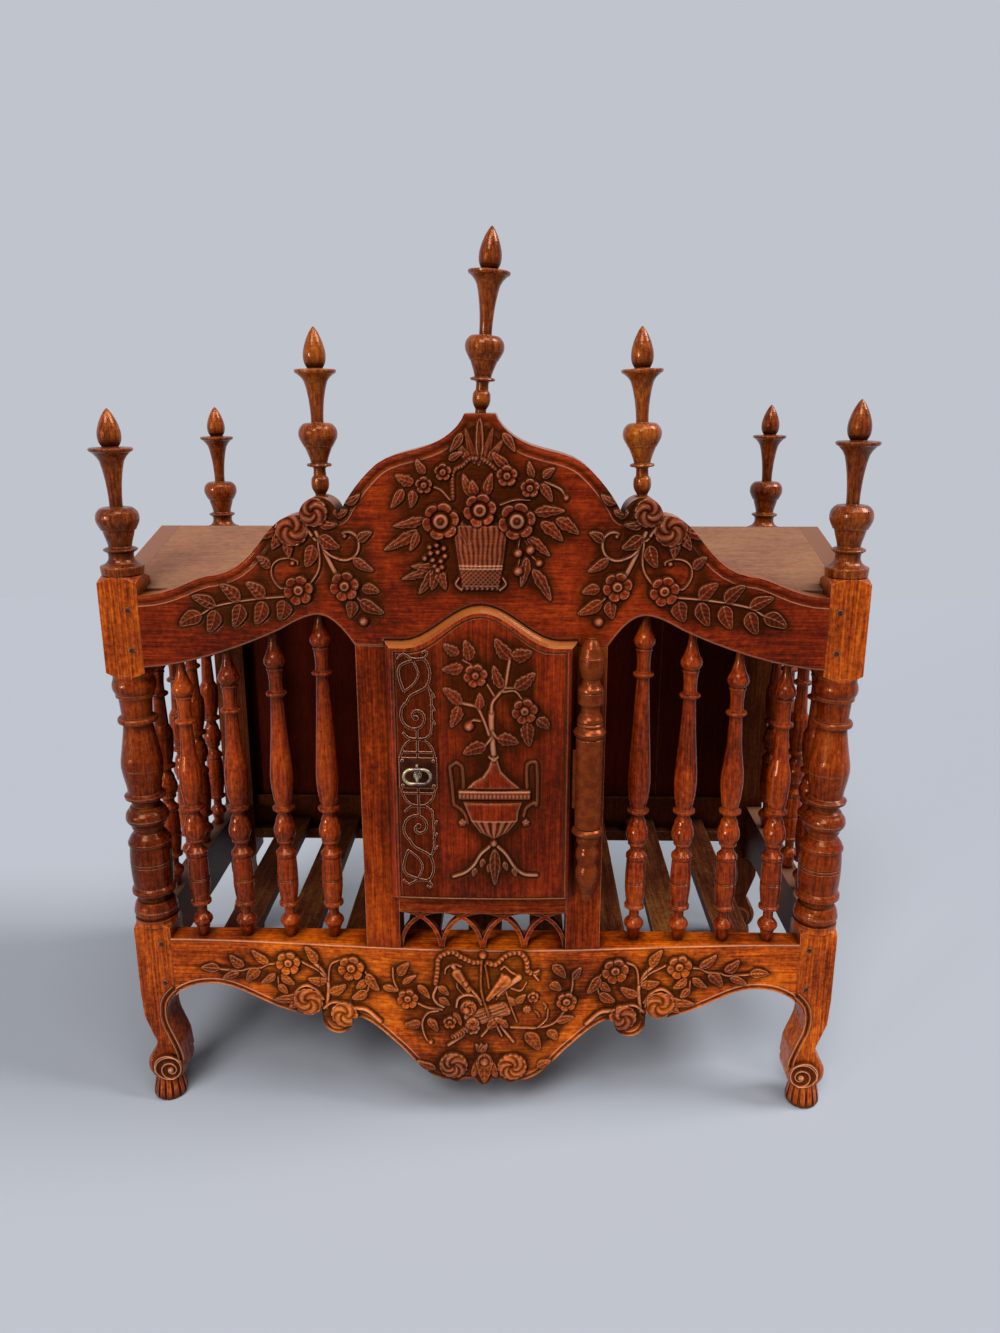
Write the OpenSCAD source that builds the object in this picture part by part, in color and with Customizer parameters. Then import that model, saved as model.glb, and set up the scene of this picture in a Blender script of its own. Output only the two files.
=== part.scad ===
/* [Cupboard] */
// Overall width over the corner posts
width = 850; // [780:10:940]
// Overall depth over the corner posts
depth = 436; // [390:4:480]
// Side of the square corner posts
post_size = 44; // [41:1:48]
// Largest radius of the turned shaft between the post's two blocks
shaft_r = 26; // [23:0.5:28]
// Height of the apron's top edge, where the cage begins
floor_h = 229; // [215:1:245]
// Height of the cage, from the apron's top to the ends of the crest
cage_h = 342; // [326:2:370]
// Height of the crest at its two ends
crest_end_h = 82; // [74:1:94]

/* [Crest and apron] */
// Thickness of the crest and the apron at their ends
board_t = 27; // [24:1:32]
// How far the crest and the apron bow forward in the middle
bow_depth = 19; // [10:1:24]
// Height of the crest's peak above its ends
crest_rise = 196; // [170:2:216]
// Half width of the flat on the crest's peak
peak_half = 16; // [12:1:22]
// Distance of the carved side scrolls from the middle
lobe_x = 173; // [166:1:182]
// Radius of the carved side scrolls
lobe_r = 21; // [18:0.5:24]
// Height of the arches of the crest above its ends' lower corners
arch_rise = 64; // [50:1:70]
// Depth of the apron at its ends
apron_end_h = 79; // [72:1:88]
// Depth of the apron in the middle
apron_mid_h = 187; // [170:1:196]

/* [Doorway and door] */
// Half width of the doorway
doorway_half = 98.5; // [94:0.5:102]
// Width of the stiles beside the doorway
stile_w = 40.5; // [36:0.5:44]
// Height of the sill rail under the door
sill_h = 29; // [24:1:34]
// Height of the pierced gallery between the sill and the apron
gallery_h = 48; // [42:1:54]
// Width of the bars of the gallery's arches
gallery_bar = 4.5; // [3.5:0.5:6]
// How far the door's lip covers the doorway's edges
door_lap = 7; // [5:0.5:8]
// Rise of the door's arched head above its shoulders
door_rise = 40; // [30:1:46]
// How far the door's face stands in front of the stiles
door_proud = 11; // [9:0.5:13]
// Thickness of the door's core inside the doorway
door_core_t = 14; // [11:1:17]

/* [Spindles and finials] */
// Number of spindles on each side of the doorway
front_spindles = 4; // [3:1:4]
// Number of spindles in each end of the cage
side_spindles = 4; // [2:1:4]
// Largest radius of a spindle
spindle_r = 13; // [11:0.5:14]
// Height of the finials above the wood they stand on
finial_h = 183; // [160:1:200]
// Largest radius of the finials
finial_r = 23.5; // [20:0.5:25]
// Lean of the middle finial towards the right, in degrees
finial_lean = 4; // [0:0.5:5]

/* [Floor, back and roof] */
// Number of floor slats
slats = 9; // [7:1:10]
// Width of a floor slat
slat_w = 42; // [34:1:50]
// Depth of the slats' top below the apron's top edge
slat_drop = 16; // [8:1:24]
// Thickness of the floor slats and the roof boards
plank_t = 14; // [11:1:18]
// Thickness of the rails in the ends and the back
rail_t = 24; // [20:1:26]
// Rise of the roof from the front of the cupboard to its ridge
roof_rise = 53; // [30:1:66]
// Number of boards in the back
back_boards = 6; // [4:1:8]
// Thickness of the back boards
back_t = 11; // [8:1:14]

/* [Ironwork] */
// Distance of the hinge's axis from the middle of the cupboard
hinge_x = 120; // [118:0.5:122]
// Distance of the hinge's axis in front of the posts
hinge_out = 34; // [33:0.5:37]
// Radius of the hinge's barrel
barrel_r = 15; // [13:0.5:16]
// Length of the hinge's barrel
barrel_l = 106; // [90:1:120]
// Radius of the largest rings of the hinge
hinge_ring_r = 18; // [16:0.5:18.5]
// Radius of the hinge's rod
rod_r = 4; // [3:0.5:6]
// Height of the lock plate
plate_h = 286; // [260:2:290]
// Width of the lock plate
plate_w = 43; // [40:1:43]
// Thickness of the lock plate
plate_t = 1.6; // [1:0.2:2.4]
// How far the bolt travels
bolt_throw = 12; // [9:1:14]
// Radius of the key's shank
key_r = 3; // [2.5:0.25:3.5]

/* [Hidden] */

// Fits: a joint's clearance, a turning fit, and the gap between pieces that only lie together
fit = 0.1;
running = 0.06;
gap = 0.3;

// Places worked out from the sizes above; y runs back from the middle of the whole cupboard
half_w = width / 2;
finial_over = max(0, finial_r * 1.0094 - post_size / 2);
front_y = (hinge_out + hinge_ring_r - depth - finial_over) / 2;
back_y = front_y + depth;
post_x = half_w - post_size / 2;
post_front_y = front_y + post_size / 2;
post_rear_y = back_y - post_size / 2;
span = half_w - post_size;
rail_front_y = front_y + board_t;
cage_top = floor_h + cage_h;
crest_end_z = cage_top + crest_end_h;
shoulder_h = 6;
block_over = 21.5;
rear_drop = 7;
post_top = crest_end_z + block_over;
rear_top = post_top - rear_drop;
upper_block_z = cage_top - 14;
lower_block_z = floor_h + 20;
leg_z = floor_h - apron_end_h;
stile_out = doorway_half + stile_w;
wing_l = span - lobe_x;

// Joinery
tenon_l = 24;
tenon_t = 10;
tenon_edge = 3;
tenon_in = 13;
peg_r = 3.6;
peg_edge = 12;
peg_l = 23;
peg_proud = 0.6;
side_x = half_w - rail_t / 2;
side_rail_top = floor_h + 10;
rear_rail_y = back_y - 12 - rail_t / 2;
rear_rail_front_y = rear_rail_y - rail_t / 2;
rear_low_z = floor_h - 53;
rear_rail_h = 74;

// Roof: a ridge at mid depth with the same fall to the front and the back
mid_y = (front_y + back_y) / 2;
roof_low_z = crest_end_z - 3;
roof_slope = roof_rise / (depth / 2);
roof_drop = plank_t * sqrt(1 + roof_slope * roof_slope);
function roof_z(y) = roof_low_z + roof_rise - roof_slope * abs(y - mid_y);

// Turned pieces
spindle_y = front_y + 12;
spindle_pitch = (span - stile_out) / (front_spindles + 0.5);
spindle_x0 = stile_out + 0.8 * spindle_pitch;
spindle_peg_r = 4.3;
spindle_peg_l = 14;
finial_peg_r = 7;
finial_peg_l = 20;
crest_peg_r = 4.5;
crest_finial_y = front_y + 7;

// Door and lock
sill_z = floor_h + gallery_h;
sill_top = sill_z + sill_h;
door_low = sill_top - door_lap + 1;
stile_top = cage_top + 30;
door_shoulder = stile_top + door_lap;
door_half = doorway_half + door_lap;
door_flat = 0.83 * door_half;
edge_gap = 1.6;
core_half = doorway_half - edge_gap;
lock_x = -71;
lock_z = (door_low + door_shoulder) / 2 + 4;
key_hole_r = 5;
case_half_h = 30;
case_left = -92;
case_right = -46;
case_t = 15;
case_wall = 2;
bolt_h = 12;
bolt_t = 6;
bolt_lift = 6;
bolt_y = front_y - bow_at(lock_x) + door_core_t + case_wall + 2;
bit_reach = 8.5;
bit_t = 3;
notch_left = bolt_throw - bit_t;
notch_right = bolt_throw + bit_t / 2 + 0.9;
barrel_z = (door_low + door_shoulder) / 2 - barrel_l / 2 - 4;
hinge_y = front_y - hinge_out;
leaf_t = 2;
leaf_angle = 150;

// The bow of the front: a raised cosine over the span between the posts
function bow_at(x) = bow_depth * (1 + cos(180 * min(1, abs(x) / span))) / 2;
function face_y(x) = front_y - bow_at(x);

// A cubic Bezier stretch through n points, its last point left out
function bezier(a, b, c, d, n = 8) = [for (i = [0:n - 1]) let (t = i / n, u = 1 - t)
    u * u * u * a + 3 * u * u * t * b + 3 * u * t * t * c + t * t * t * d];
function flip(points) = [for (i = [len(points) - 1:-1:0]) [-points[i][0], points[i][1]]];

// A smooth curve through all the given points, three steps to each stretch, its last point kept
function curve(p, n = 3) = [for (k = [0:len(p) - 2], i = [0:n - 1])
    let (a = p[max(0, k - 1)], b = p[k], c = p[k + 1], d = p[min(len(p) - 1, k + 2)], t = i / n)
    0.5 * ((2 * b) + (c - a) * t + (2 * a - 5 * b + 4 * c - d) * t * t
        + (3 * b - a - 3 * c + d) * t * t * t), p[len(p) - 1]];
function lift(points, z, k = 1) = [for (p = points) [p[0] * k, p[1] + z]];

// A solid turned on the lathe from [radius, height] points, closed along the axis
module turned(points) {
    last = len(points) - 1;
    rotate_extrude($fn = 48) polygon(concat([[0, points[0][1]]], points, [[0, points[last][1]]]));
}

// A drawing in the front view, [x, z], made solid from y0 back to y1
module front_view(y0, y1) {
    translate([0, y1, 0]) rotate([90, 0, 0]) linear_extrude(height = y1 - y0) children();
}

// A drawing in the side view, [y, z], made solid from x0 to x1
module side_view(x0, x1) {
    translate([x0, 0, 0]) rotate([90, 0, 90]) linear_extrude(height = x1 - x0) children();
}

// The plan of a board that follows the bow, from out in front of the face to back behind it
module bow_plan(x0, x1, out, back) {
    steps = max(4, round((x1 - x0) / 32));
    xs = [for (i = [0:steps]) x0 + (x1 - x0) * i / steps];
    polygon(concat([for (x = xs) [x, face_y(x) - out]], back));
}

module box(low, high) {
    translate(low) cube(high - low);
}

// Crest
function crest_at(f, h) = [lobe_x + f * wing_l, crest_end_z + h];
function hood_at(f, h) = [f * lobe_x, crest_end_z + h];
function arch_at(f, h) = [stile_out + f * (span - stile_out), cage_top + h * arch_rise];
function door_arch(x) = door_shoulder
    + (abs(x) < door_flat ? door_rise * (1 + cos(180 * x / door_flat)) / 2 : 0);

crest_arch = concat(
    bezier(arch_at(1, 0), arch_at(0.79, 0.03), arch_at(0.51, 0.42), arch_at(0.34, 0.73)),
    bezier(arch_at(0.34, 0.73), arch_at(0.27, 0.89), arch_at(0.21, 1), arch_at(0.165, 1), 5),
    bezier(arch_at(0.165, 1), arch_at(0.105, 1), arch_at(0.05, 0.76), [stile_out, stile_top], 5)
);
crest_half_top = concat(
    [[0, crest_end_z + crest_rise]],
    bezier([peak_half, crest_end_z + crest_rise], [peak_half + 4, crest_end_z + crest_rise - 12],
        hood_at(0.2, crest_rise - 25), hood_at(0.31, crest_rise - 32), 6),
    bezier(hood_at(0.31, crest_rise - 32), hood_at(0.46, crest_rise - 41),
        hood_at(0.58, crest_rise - 40), hood_at(0.68, crest_rise - 59), 6),
    bezier(hood_at(0.68, crest_rise - 59), hood_at(0.775, crest_rise - 75),
        hood_at(0.84, crest_rise - 92), hood_at(0.88, crest_rise - 107), 6),
    [hood_at(0.93, crest_rise - 112)],
    bezier(crest_at(0.08, 90), crest_at(0.12, 92), crest_at(0.19, 90), crest_at(0.236, 80), 5),
    bezier(crest_at(0.236, 80), crest_at(0.33, 63), crest_at(0.39, 31), crest_at(0.57, 24)),
    bezier(crest_at(0.57, 24), crest_at(0.7, 23), crest_at(0.79, 1), crest_at(1, 0))
);

module crest_outline() {
    half = concat(crest_half_top, [crest_at(1, 0)], crest_arch, [[stile_out, stile_top]]);
    polygon(concat(half, flip(half)));
    for (s = [-1, 1]) translate([s * lobe_x, lobe_z()]) circle(r = lobe_r, $fn = 48);
}
function lobe_z() = crest_end_z + crest_rise - 107;

// The head of the doorway, which the door's core fills
module doorway_outline(edge) {
    xs = [for (i = [-12:12]) i * (doorway_half + edge) / 12];
    polygon(concat([for (x = xs) [x, door_arch(x * door_half / (doorway_half + edge)) - door_lap + edge]],
        [[doorway_half + edge, sill_top - edge], [-doorway_half - edge, sill_top - edge]]));
}

module bowed(x0, x1, back) {
    linear_extrude(height = 1200) bow_plan(x0, x1, 0, [[x1, back], [x0, back]]);
}

// Tenons: centred on the rail's thickness and set in from its edges
module end_tenon(side, y, z0, z1) {
    x0 = side > 0 ? span : -span - tenon_l;
    box([x0, y - tenon_t / 2, z0 + tenon_edge], [x0 + tenon_l, y + tenon_t / 2, z1 - tenon_edge]);
}
module side_tenon(side, y0, z0, z1) {
    x0 = side * side_x;
    box([x0 - tenon_t / 2, y0, z0 + tenon_edge], [x0 + tenon_t / 2, y0 + tenon_l, z1 - tenon_edge]);
}
module end_mortise(side, y, z0, z1) {
    x0 = side > 0 ? span - fit : -span - tenon_l - fit;
    box([x0, y - tenon_t / 2 - fit, z0 + tenon_edge - fit],
        [x0 + tenon_l + 2 * fit, y + tenon_t / 2 + fit, z1 - tenon_edge + fit]);
}
module side_mortise(side, y0, z0, z1) {
    x0 = side * side_x;
    box([x0 - tenon_t / 2 - fit, y0 - fit, z0 + tenon_edge - fit],
        [x0 + tenon_t / 2 + fit, y0 + tenon_l + fit, z1 - tenon_edge + fit]);
}

side_rail_ends = [[leg_z, side_rail_top], [cage_top + 4, crest_end_z - 3]];
rear_rail_ends = [[rear_low_z, rear_low_z + rear_rail_h], [cage_top + 4, crest_end_z - 14]];
front_rail_ends = [[leg_z, floor_h], [cage_top, crest_end_z]];
front_tenon_y = front_y + tenon_in;

// Pegs, two through each tenon: one bore for the pegs, the posts and the rails' tenons
peg_rows = [[0.22, 0.9], [0.24, 0.8]];
peg_x = span + peg_edge;
function peg_z(ends, i, j) = ends[i][0] + peg_rows[i][j] * (ends[i][1] - ends[i][0]);
module face_pegs(ease, x_sides, fronts) {
    ends = fronts ? front_rail_ends : rear_rail_ends;
    side_peg_y = fronts ? front_y + post_size - peg_edge : back_y - post_size + peg_edge;
    r = peg_r + ease;
    proud = ease > 0 ? 1 : peg_proud;
    deep = ease > 0 ? ease + 0.4 : 0;
    for (s = x_sides, i = [0, 1], j = [0, 1]) {
        if (fronts) translate([s * peg_x, front_y - proud, peg_z(ends, i, j)]) rotate([-90, 0, 0])
            cylinder(r = r, h = peg_l + deep, $fn = 24);
        else translate([s * peg_x, back_y + proud, peg_z(ends, i, j)]) rotate([90, 0, 0])
            cylinder(r = r, h = peg_l + deep + 5, $fn = 24);
        translate([s * (half_w + proud), side_peg_y, peg_z(side_rail_ends, i, j)]) rotate([0, -90 * s, 0])
            cylinder(r = r, h = peg_l + deep - 4, $fn = 24);
    }
}

// Corner posts
module square_block(z0, z1, low_shoulder, high_shoulder) {
    edge = post_size / 2;
    far = edge * 1.6;
    intersection() {
        box([-edge, -edge, z0], [edge, edge, z1]);
        turned([
            if (low_shoulder) [edge - 1, z0], if (low_shoulder) [far, z0 + shoulder_h * 1.7],
            if (!low_shoulder) [far, z0], if (!high_shoulder) [far, z1],
            if (high_shoulder) [far, z1 - shoulder_h * 1.7], if (high_shoulder) [edge - 1, z1]
        ]);
    }
}

// The shaft: rings and bulbs at the foot, a long vase, and a torus under the upper block
shaft_k = shaft_r / 26;
shaft_foot = concat(
    [[25.4, -6], [25.4, 2], [22.6, 3.2]],
    curve([[23.6, 4], [26, 9], [25.8, 12.4]]),
    [[25.1, 13.2], [25.6, 14]],
    curve([[25.3, 15], [24.2, 19.5], [21.6, 24]], 2),
    [[18.4, 26], [18.4, 32], [20.5, 33], [26, 35.5], [26, 39.5], [25, 41.5], [23.4, 43.5]],
    curve([[23.4, 44], [24.6, 58], [24.9, 70]], 2),
    [[24.9, 71.6], [23.6, 72.4], [24.9, 73.2], [24.9, 75.6], [23.6, 76.4], [24.9, 77.2]],
    curve([[24.9, 78], [24.4, 88], [23.2, 97]], 2),
    [[25.2, 98.6], [25.2, 101.5]],
    curve([[24.6, 102.5], [21.8, 108], [17.8, 113.5]], 2),
    [[17.6, 118], [19.2, 119.5], [19.2, 121.5]],
    curve([[19.4, 122.5], [23.6, 127.6], [24.8, 131.4]]),
    [[24.1, 132.2], [24.8, 133]],
    curve([[24.7, 134], [23.9, 138], [21.4, 141.5]], 2),
    [[20.4, 142.2], [19, 145.5], [16.4, 148], [16.4, 152.6], [23.2, 157.4], [23.8, 160.6], [20.4, 163]],
    curve([[19.3, 164], [20.1, 172.5], [22.5, 185], [23.7, 194]], 2),
    [[23.3, 195], [24, 196]],
    curve([[24.1, 197], [23.7, 205], [22.6, 211]])
);
shaft_head = concat(
    curve([[19.2, -77], [17.5, -66], [16.7, -58.5]], 3),
    [[17.4, -58]],
    curve([[17.4, -57.8], [21.6, -56.6], [22.5, -53.6], [21.4, -50.6], [17.8, -49.6]], 2),
    [[17.6, -46], [18.9, -28], [19.6, -26.4], [21.8, -25], [21.8, -22.2]],
    curve([[21.6, -21.6], [24.2, -16], [24.6, -10], [22.6, -3]], 3),
    [[22.6, 4]]
);
module shaft() {
    turned(concat(lift(shaft_foot, lower_block_z, shaft_k), lift(shaft_head, upper_block_z, shaft_k)));
}

// The leg: sawn to an S in the front view, ending in a rolled scroll on a fluted pad
leg_shift = 0.5;
scroll_z = 46;
scroll_r = 24;
volute_r = 15.5;
volute_x = 3.3;
pad_h = 33;
pad_x = -1;
leg_edge = post_size / 2;
leg_outline = concat(
    [[leg_edge, leg_z + 4]],
    [[leg_edge, leg_z]],
    bezier([leg_edge - 2, leg_z - 1], [leg_edge - 10, leg_z - 8], [8.3, leg_z - 18], [8, leg_z - 31], 6),
    bezier([8, leg_z - 31], [8, leg_z - 49], [19, leg_z - 62], [22.5, scroll_z + 20], 6),
    [[22.5, scroll_z + 6], [17, scroll_z], [-10, scroll_z]],
    bezier([-17, scroll_z + 15], [-12, scroll_z + 24], [-8.5, scroll_z + 31], [-8, scroll_z + 38], 6),
    bezier([-8, scroll_z + 38], [-12, leg_z - 54], [-leg_edge + 3, leg_z - 36], [-leg_edge, leg_z - 24], 6),
    [[-leg_edge, leg_z + 4]]
);
module leg(out, pad_y) {
    edge = post_size / 2;
    mirror([out > 0 ? 1 : 0, 0, 0]) {
        front_view(-edge, edge) polygon(leg_outline);
        translate([-leg_shift, 0, scroll_z]) rotate([90, 0, 0]) turned([
            [scroll_r - 5, -edge], [scroll_r, -edge + 5], [scroll_r, edge - 8],
            [scroll_r - 1.5, edge - 4], [scroll_r - 5, edge - 1]
        ]);
        translate([volute_x, 0, scroll_z]) rotate([90, 0, 0]) turned([
            [volute_r + 3, edge - 6], [volute_r + 3, edge], [volute_r + 1, edge + 1.2],
            [volute_r, edge + 3.5], [8, edge + 3.5]
        ]);
        translate([pad_x, pad_y, 0]) fluted_pad();
    }
}
module fluted_pad() {
    flutes = 14;
    difference() {
        turned(curve([[17.5, 0], [20.4, 5], [19.4, 16], [15.6, pad_h]], 3));
        for (i = [0:flutes - 1]) rotate([0, 0, (i + 0.5) * 360 / flutes])
            translate([21.2, 0, -1]) rotate([0, -8.5, 0]) cylinder(r1 = 2.3, r2 = 1.4, h = pad_h, $fn = 16);
    }
}

module front_post(s) {
    color("#8a3d12") difference() {
        translate([s * post_x, post_front_y, 0]) {
            leg(s, -9);
            square_block(leg_z, lower_block_z, false, true);
            shaft();
            square_block(upper_block_z, post_top, true, true);
        }
        for (e = front_rail_ends) end_mortise(s, front_tenon_y, e[0], e[1]);
        for (e = side_rail_ends) side_mortise(s, front_y + post_size - tenon_l, e[0], e[1]);
        face_pegs(fit, [s], true);
        finial_socket(s * post_x, post_front_y, post_top);
    }
}
module rear_post(s) {
    color("#7a3610") difference() {
        translate([s * post_x, post_rear_y, 0]) {
            leg(s, 0);
            square_block(leg_z, rear_top, false, true);
        }
        for (e = rear_rail_ends) end_mortise(s, rear_rail_y, e[0], e[1]);
        for (e = side_rail_ends) side_mortise(s, back_y - post_size, e[0], e[1]);
        face_pegs(fit, [s], false);
        finial_socket(s * post_x, post_rear_y, rear_top);
        back_groove();
    }
}
module finial_socket(x, y, top) {
    translate([x, y, top - finial_peg_l - 1])
        cylinder(r = finial_peg_r + fit, h = finial_peg_l + 2, $fn = 32);
}
module post_front_left() { front_post(-1); }
module post_front_right() { front_post(1); }
module post_rear_left() { rear_post(-1); }
module post_rear_right() { rear_post(1); }

// Crest and apron rails
module crest_rail() {
    color("#93420f") difference() {
        union() {
            intersection() {
                front_view(front_y - 40, rail_front_y) crest_outline();
                bowed(-span, span, rail_front_y);
            }
            for (s = [-1, 1]) end_tenon(s, front_tenon_y, cage_top, crest_end_z);
        }
        front_view(front_y - 60, rail_front_y + 1) doorway_outline(0);
        for (i = [0:2 * front_spindles - 1]) spindle_socket(front_place(i), spindle_y, spindle_top(i), 1);
        for (s = [-1, 1]) {
            stile_tenon(s, fit);
            crest_finial_seat(s);
        }
        crest_finial_seat(0);
        face_pegs(fit, [-1, 1], true);
    }
}
module apron_rail() {
    color("#8f400f") difference() {
        union() {
            intersection() {
                front_view(front_y - 40, rail_front_y) apron_outline();
                bowed(-span, span, rail_front_y);
            }
            for (s = [-1, 1]) end_tenon(s, front_tenon_y, leg_z, floor_h);
        }
        for (i = [0:2 * front_spindles - 1]) spindle_socket(front_place(i), spindle_y, floor_h, -1);
        for (s = [-1, 1]) stile_tenon(s, fit);
        face_pegs(fit, [-1, 1], true);
    }
}
function apron_at(f, d) = [f * span, floor_h - d];
module apron_outline() {
    e = apron_end_h;
    m = apron_mid_h;
    half = concat(
        [apron_at(1, 0)],
        bezier(apron_at(1, e), apron_at(0.96, e - 16), apron_at(0.89, e - 21), apron_at(0.835, e - 17), 6),
        bezier(apron_at(0.835, e - 17), apron_at(0.766, e - 12), apron_at(0.69, e + 12),
            apron_at(0.593, e + 18)),
        bezier(apron_at(0.593, e + 18), apron_at(0.562, e + 20), apron_at(0.535, e + 16),
            apron_at(0.51, e + 8), 4),
        [apron_at(0.5, e + 7), apron_at(0.43, e + 7)],
        bezier(apron_at(0.42, e + 18), apron_at(0.367, e + 16), apron_at(0.32, m - 70),
            apron_at(0.262, m - 49)),
        bezier(apron_at(0.262, m - 49), apron_at(0.22, m - 32), apron_at(0.184, m - 8),
            apron_at(0.11, m - 5)),
        [apron_at(0.1, m - 6), apron_at(0.055, m - 8), apron_at(0.02, m - 8)]
    );
    polygon(concat(half, flip(half)));
    for (s = [-1, 1]) {
        translate([s * 0.47 * span, floor_h - e - 24]) circle(r = 19, $fn = 40);
        translate([s * 0.088 * span, floor_h - m + 14]) circle(r = 10.5, $fn = 32);
    }
    translate([0, floor_h - m + 10]) circle(r = 10, $fn = 32);
}

// Stiles, sill and the pierced gallery
stile_tenon_l = 18;
module stile_tenon(s, ease) {
    x0 = s * (doorway_half + stile_w / 2);
    y0 = front_y + 4;
    for (z = [floor_h - stile_tenon_l, stile_top])
        box([x0 - 12 - ease, y0 - ease, z - (z < stile_top ? ease : 1)],
            [x0 + 12 + ease, y0 + tenon_t + ease, z + stile_tenon_l + (z < stile_top ? 1 : ease)]);
}
module stile(s) {
    inner = doorway_half;
    color("#8a3c10") difference() {
        union() {
            intersection() {
                box([s > 0 ? inner : -stile_out, front_y - 40, floor_h],
                    [s > 0 ? stile_out : -inner, rail_front_y - 1, stile_top]);
                bowed(-stile_out, stile_out, rail_front_y - 1);
            }
            intersection() {
                stile_tenon(s, 0);
                box([-width, front_y, floor_h - stile_tenon_l], [width, back_y, stile_top + stile_tenon_l]);
            }
        }
        if (s > 0) {
            hinge_leaf(upper_leaf_z, fit, 1);
            hinge_leaf(lower_leaf_z, fit, 1);
        }
        else bolt_pocket();
        sill_tenon(s, fit);
    }
}
module sill_tenon(s, ease) {
    x0 = s > 0 ? doorway_half - 1 : -doorway_half - 12 - ease;
    box([x0, front_y - ease, sill_z + 6 - ease], [x0 + 13 + ease, front_y + 8 + ease, sill_top - 6 + ease]);
}
module bolt_pocket() {
    depth_in = bolt_throw + 4;
    box([-doorway_half - depth_in, bolt_y - 1, lock_z + bolt_lift - 1],
        [-doorway_half + 1, bolt_y + bolt_t + 1, lock_z + bolt_lift + bolt_h + 1]);
}
module stile_left() { stile(-1); }
module stile_right() { stile(1); }
module sill_rail() {
    color("#7c340e") {
        intersection() {
            box([-doorway_half, front_y - 40, sill_z], [doorway_half, rail_front_y - 5, sill_top]);
            bowed(-doorway_half, doorway_half, rail_front_y - 5);
        }
        for (s = [-1, 1]) sill_tenon(s, 0);
    }
}
module gallery() {
    arch_r = doorway_half / 2;
    color("#7a330e") intersection() {
        front_view(front_y - 40, rail_front_y) intersection() {
            translate([-doorway_half, floor_h]) square([2 * doorway_half, gallery_h]);
            for (k = [-2:2]) translate([k * arch_r, floor_h]) scaled_ring(arch_r);
        }
        linear_extrude(height = 1200) bow_plan(-doorway_half, doorway_half, -3,
            [for (i = [4:-1:-4]) let (x = i * doorway_half / 4) [x, face_y(x) + 13]]);
    }
}
module scaled_ring(arch_r) {
    difference() {
        circle(r = arch_r + 1, $fn = 64);
        circle(r = arch_r + 1 - gallery_bar, $fn = 64);
    }
}

// End rails: the upper ones carry the slopes of the roof
module side_top_rail(s) {
    z0 = side_rail_ends[1][0];
    y0 = front_y + post_size;
    y1 = back_y - post_size;
    color("#83400f") difference() {
        union() {
            side_view(s * side_x - rail_t / 2, s * side_x + rail_t / 2)
                polygon([[y0, z0], [y1, z0], [y1, roof_z(y1)], [mid_y, roof_z(mid_y)], [y0, roof_z(y0)]]);
            side_tenon(s, y0 - tenon_l, z0, side_rail_ends[1][1]);
            side_tenon(s, y1, z0, side_rail_ends[1][1]);
        }
        for (i = [0:side_spindles - 1]) spindle_socket(s * side_x, side_place(i), z0, 1);
        ridge_tenon(s, fit);
        face_pegs(fit, [s], true);
        face_pegs(fit, [s], false);
    }
}
module side_bottom_rail(s) {
    z1 = side_rail_top;
    y0 = front_y + post_size;
    y1 = back_y - post_size;
    run = y1 - y0;
    sweep = bezier([y0, leg_z], [y0 + 0.15 * run, leg_z + 34], [mid_y - 0.2 * run, leg_z + 18],
        [mid_y, leg_z + 22]);
    sweep_back = bezier([mid_y, leg_z + 22], [mid_y + 0.2 * run, leg_z + 18], [y1 - 0.15 * run, leg_z + 34],
        [y1, leg_z]);
    color("#83400f") difference() {
        union() {
            side_view(s * side_x - rail_t / 2, s * side_x + rail_t / 2)
                polygon(concat(sweep, sweep_back, [[y1, leg_z], [y1, z1], [y0, z1]]));
            side_tenon(s, y0 - tenon_l, leg_z, z1);
            side_tenon(s, y1, leg_z, z1);
        }
        for (i = [0:side_spindles - 1]) spindle_socket(s * side_x, side_place(i), z1, -1);
        face_pegs(fit, [s], true);
        face_pegs(fit, [s], false);
    }
}
module side_top_rail_left() { side_top_rail(-1); }
module side_top_rail_right() { side_top_rail(1); }
module side_bottom_rail_left() { side_bottom_rail(-1); }
module side_bottom_rail_right() { side_bottom_rail(1); }

// Rear rails with a groove for the back boards
groove_d = 8;
back_low = rear_low_z + rear_rail_h;
back_high = cage_top + 4;
module back_groove() {
    box([-span - groove_d, rear_rail_y - back_t / 2 - fit, back_low - groove_d - fit],
        [span + groove_d, rear_rail_y + back_t / 2 + fit, back_high + groove_d + fit]);
}
module rear_top_rail() {
    y1 = rear_rail_y + rail_t / 2;
    color("#6f3210") difference() {
        union() {
            side_view(-span, span) polygon([[rear_rail_front_y, back_high], [y1, back_high],
                [y1, roof_z(y1) - roof_drop], [rear_rail_front_y, roof_z(rear_rail_front_y) - roof_drop]]);
            for (s = [-1, 1]) end_tenon(s, rear_rail_y, rear_rail_ends[1][0], rear_rail_ends[1][1]);
        }
        back_groove();
        face_pegs(fit, [-1, 1], false);
    }
}
module rear_bottom_rail() {
    color("#6f3210") difference() {
        union() {
            box([-span, rear_rail_front_y, rear_low_z], [span, rear_rail_y + rail_t / 2, back_low]);
            for (s = [-1, 1]) end_tenon(s, rear_rail_y, rear_low_z, back_low);
        }
        back_groove();
        face_pegs(fit, [-1, 1], false);
    }
}
module back_panel() {
    total = 2 * (span + groove_d - fit);
    board = total / back_boards;
    color("#4a2412") for (i = [0:back_boards - 1]) {
        x0 = -total / 2 + i * board;
        box([x0 + gap / 2, rear_rail_y - back_t / 2, back_low - groove_d],
            [x0 + board - gap / 2, rear_rail_y + back_t / 2, back_high + groove_d]);
    }
}

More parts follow.
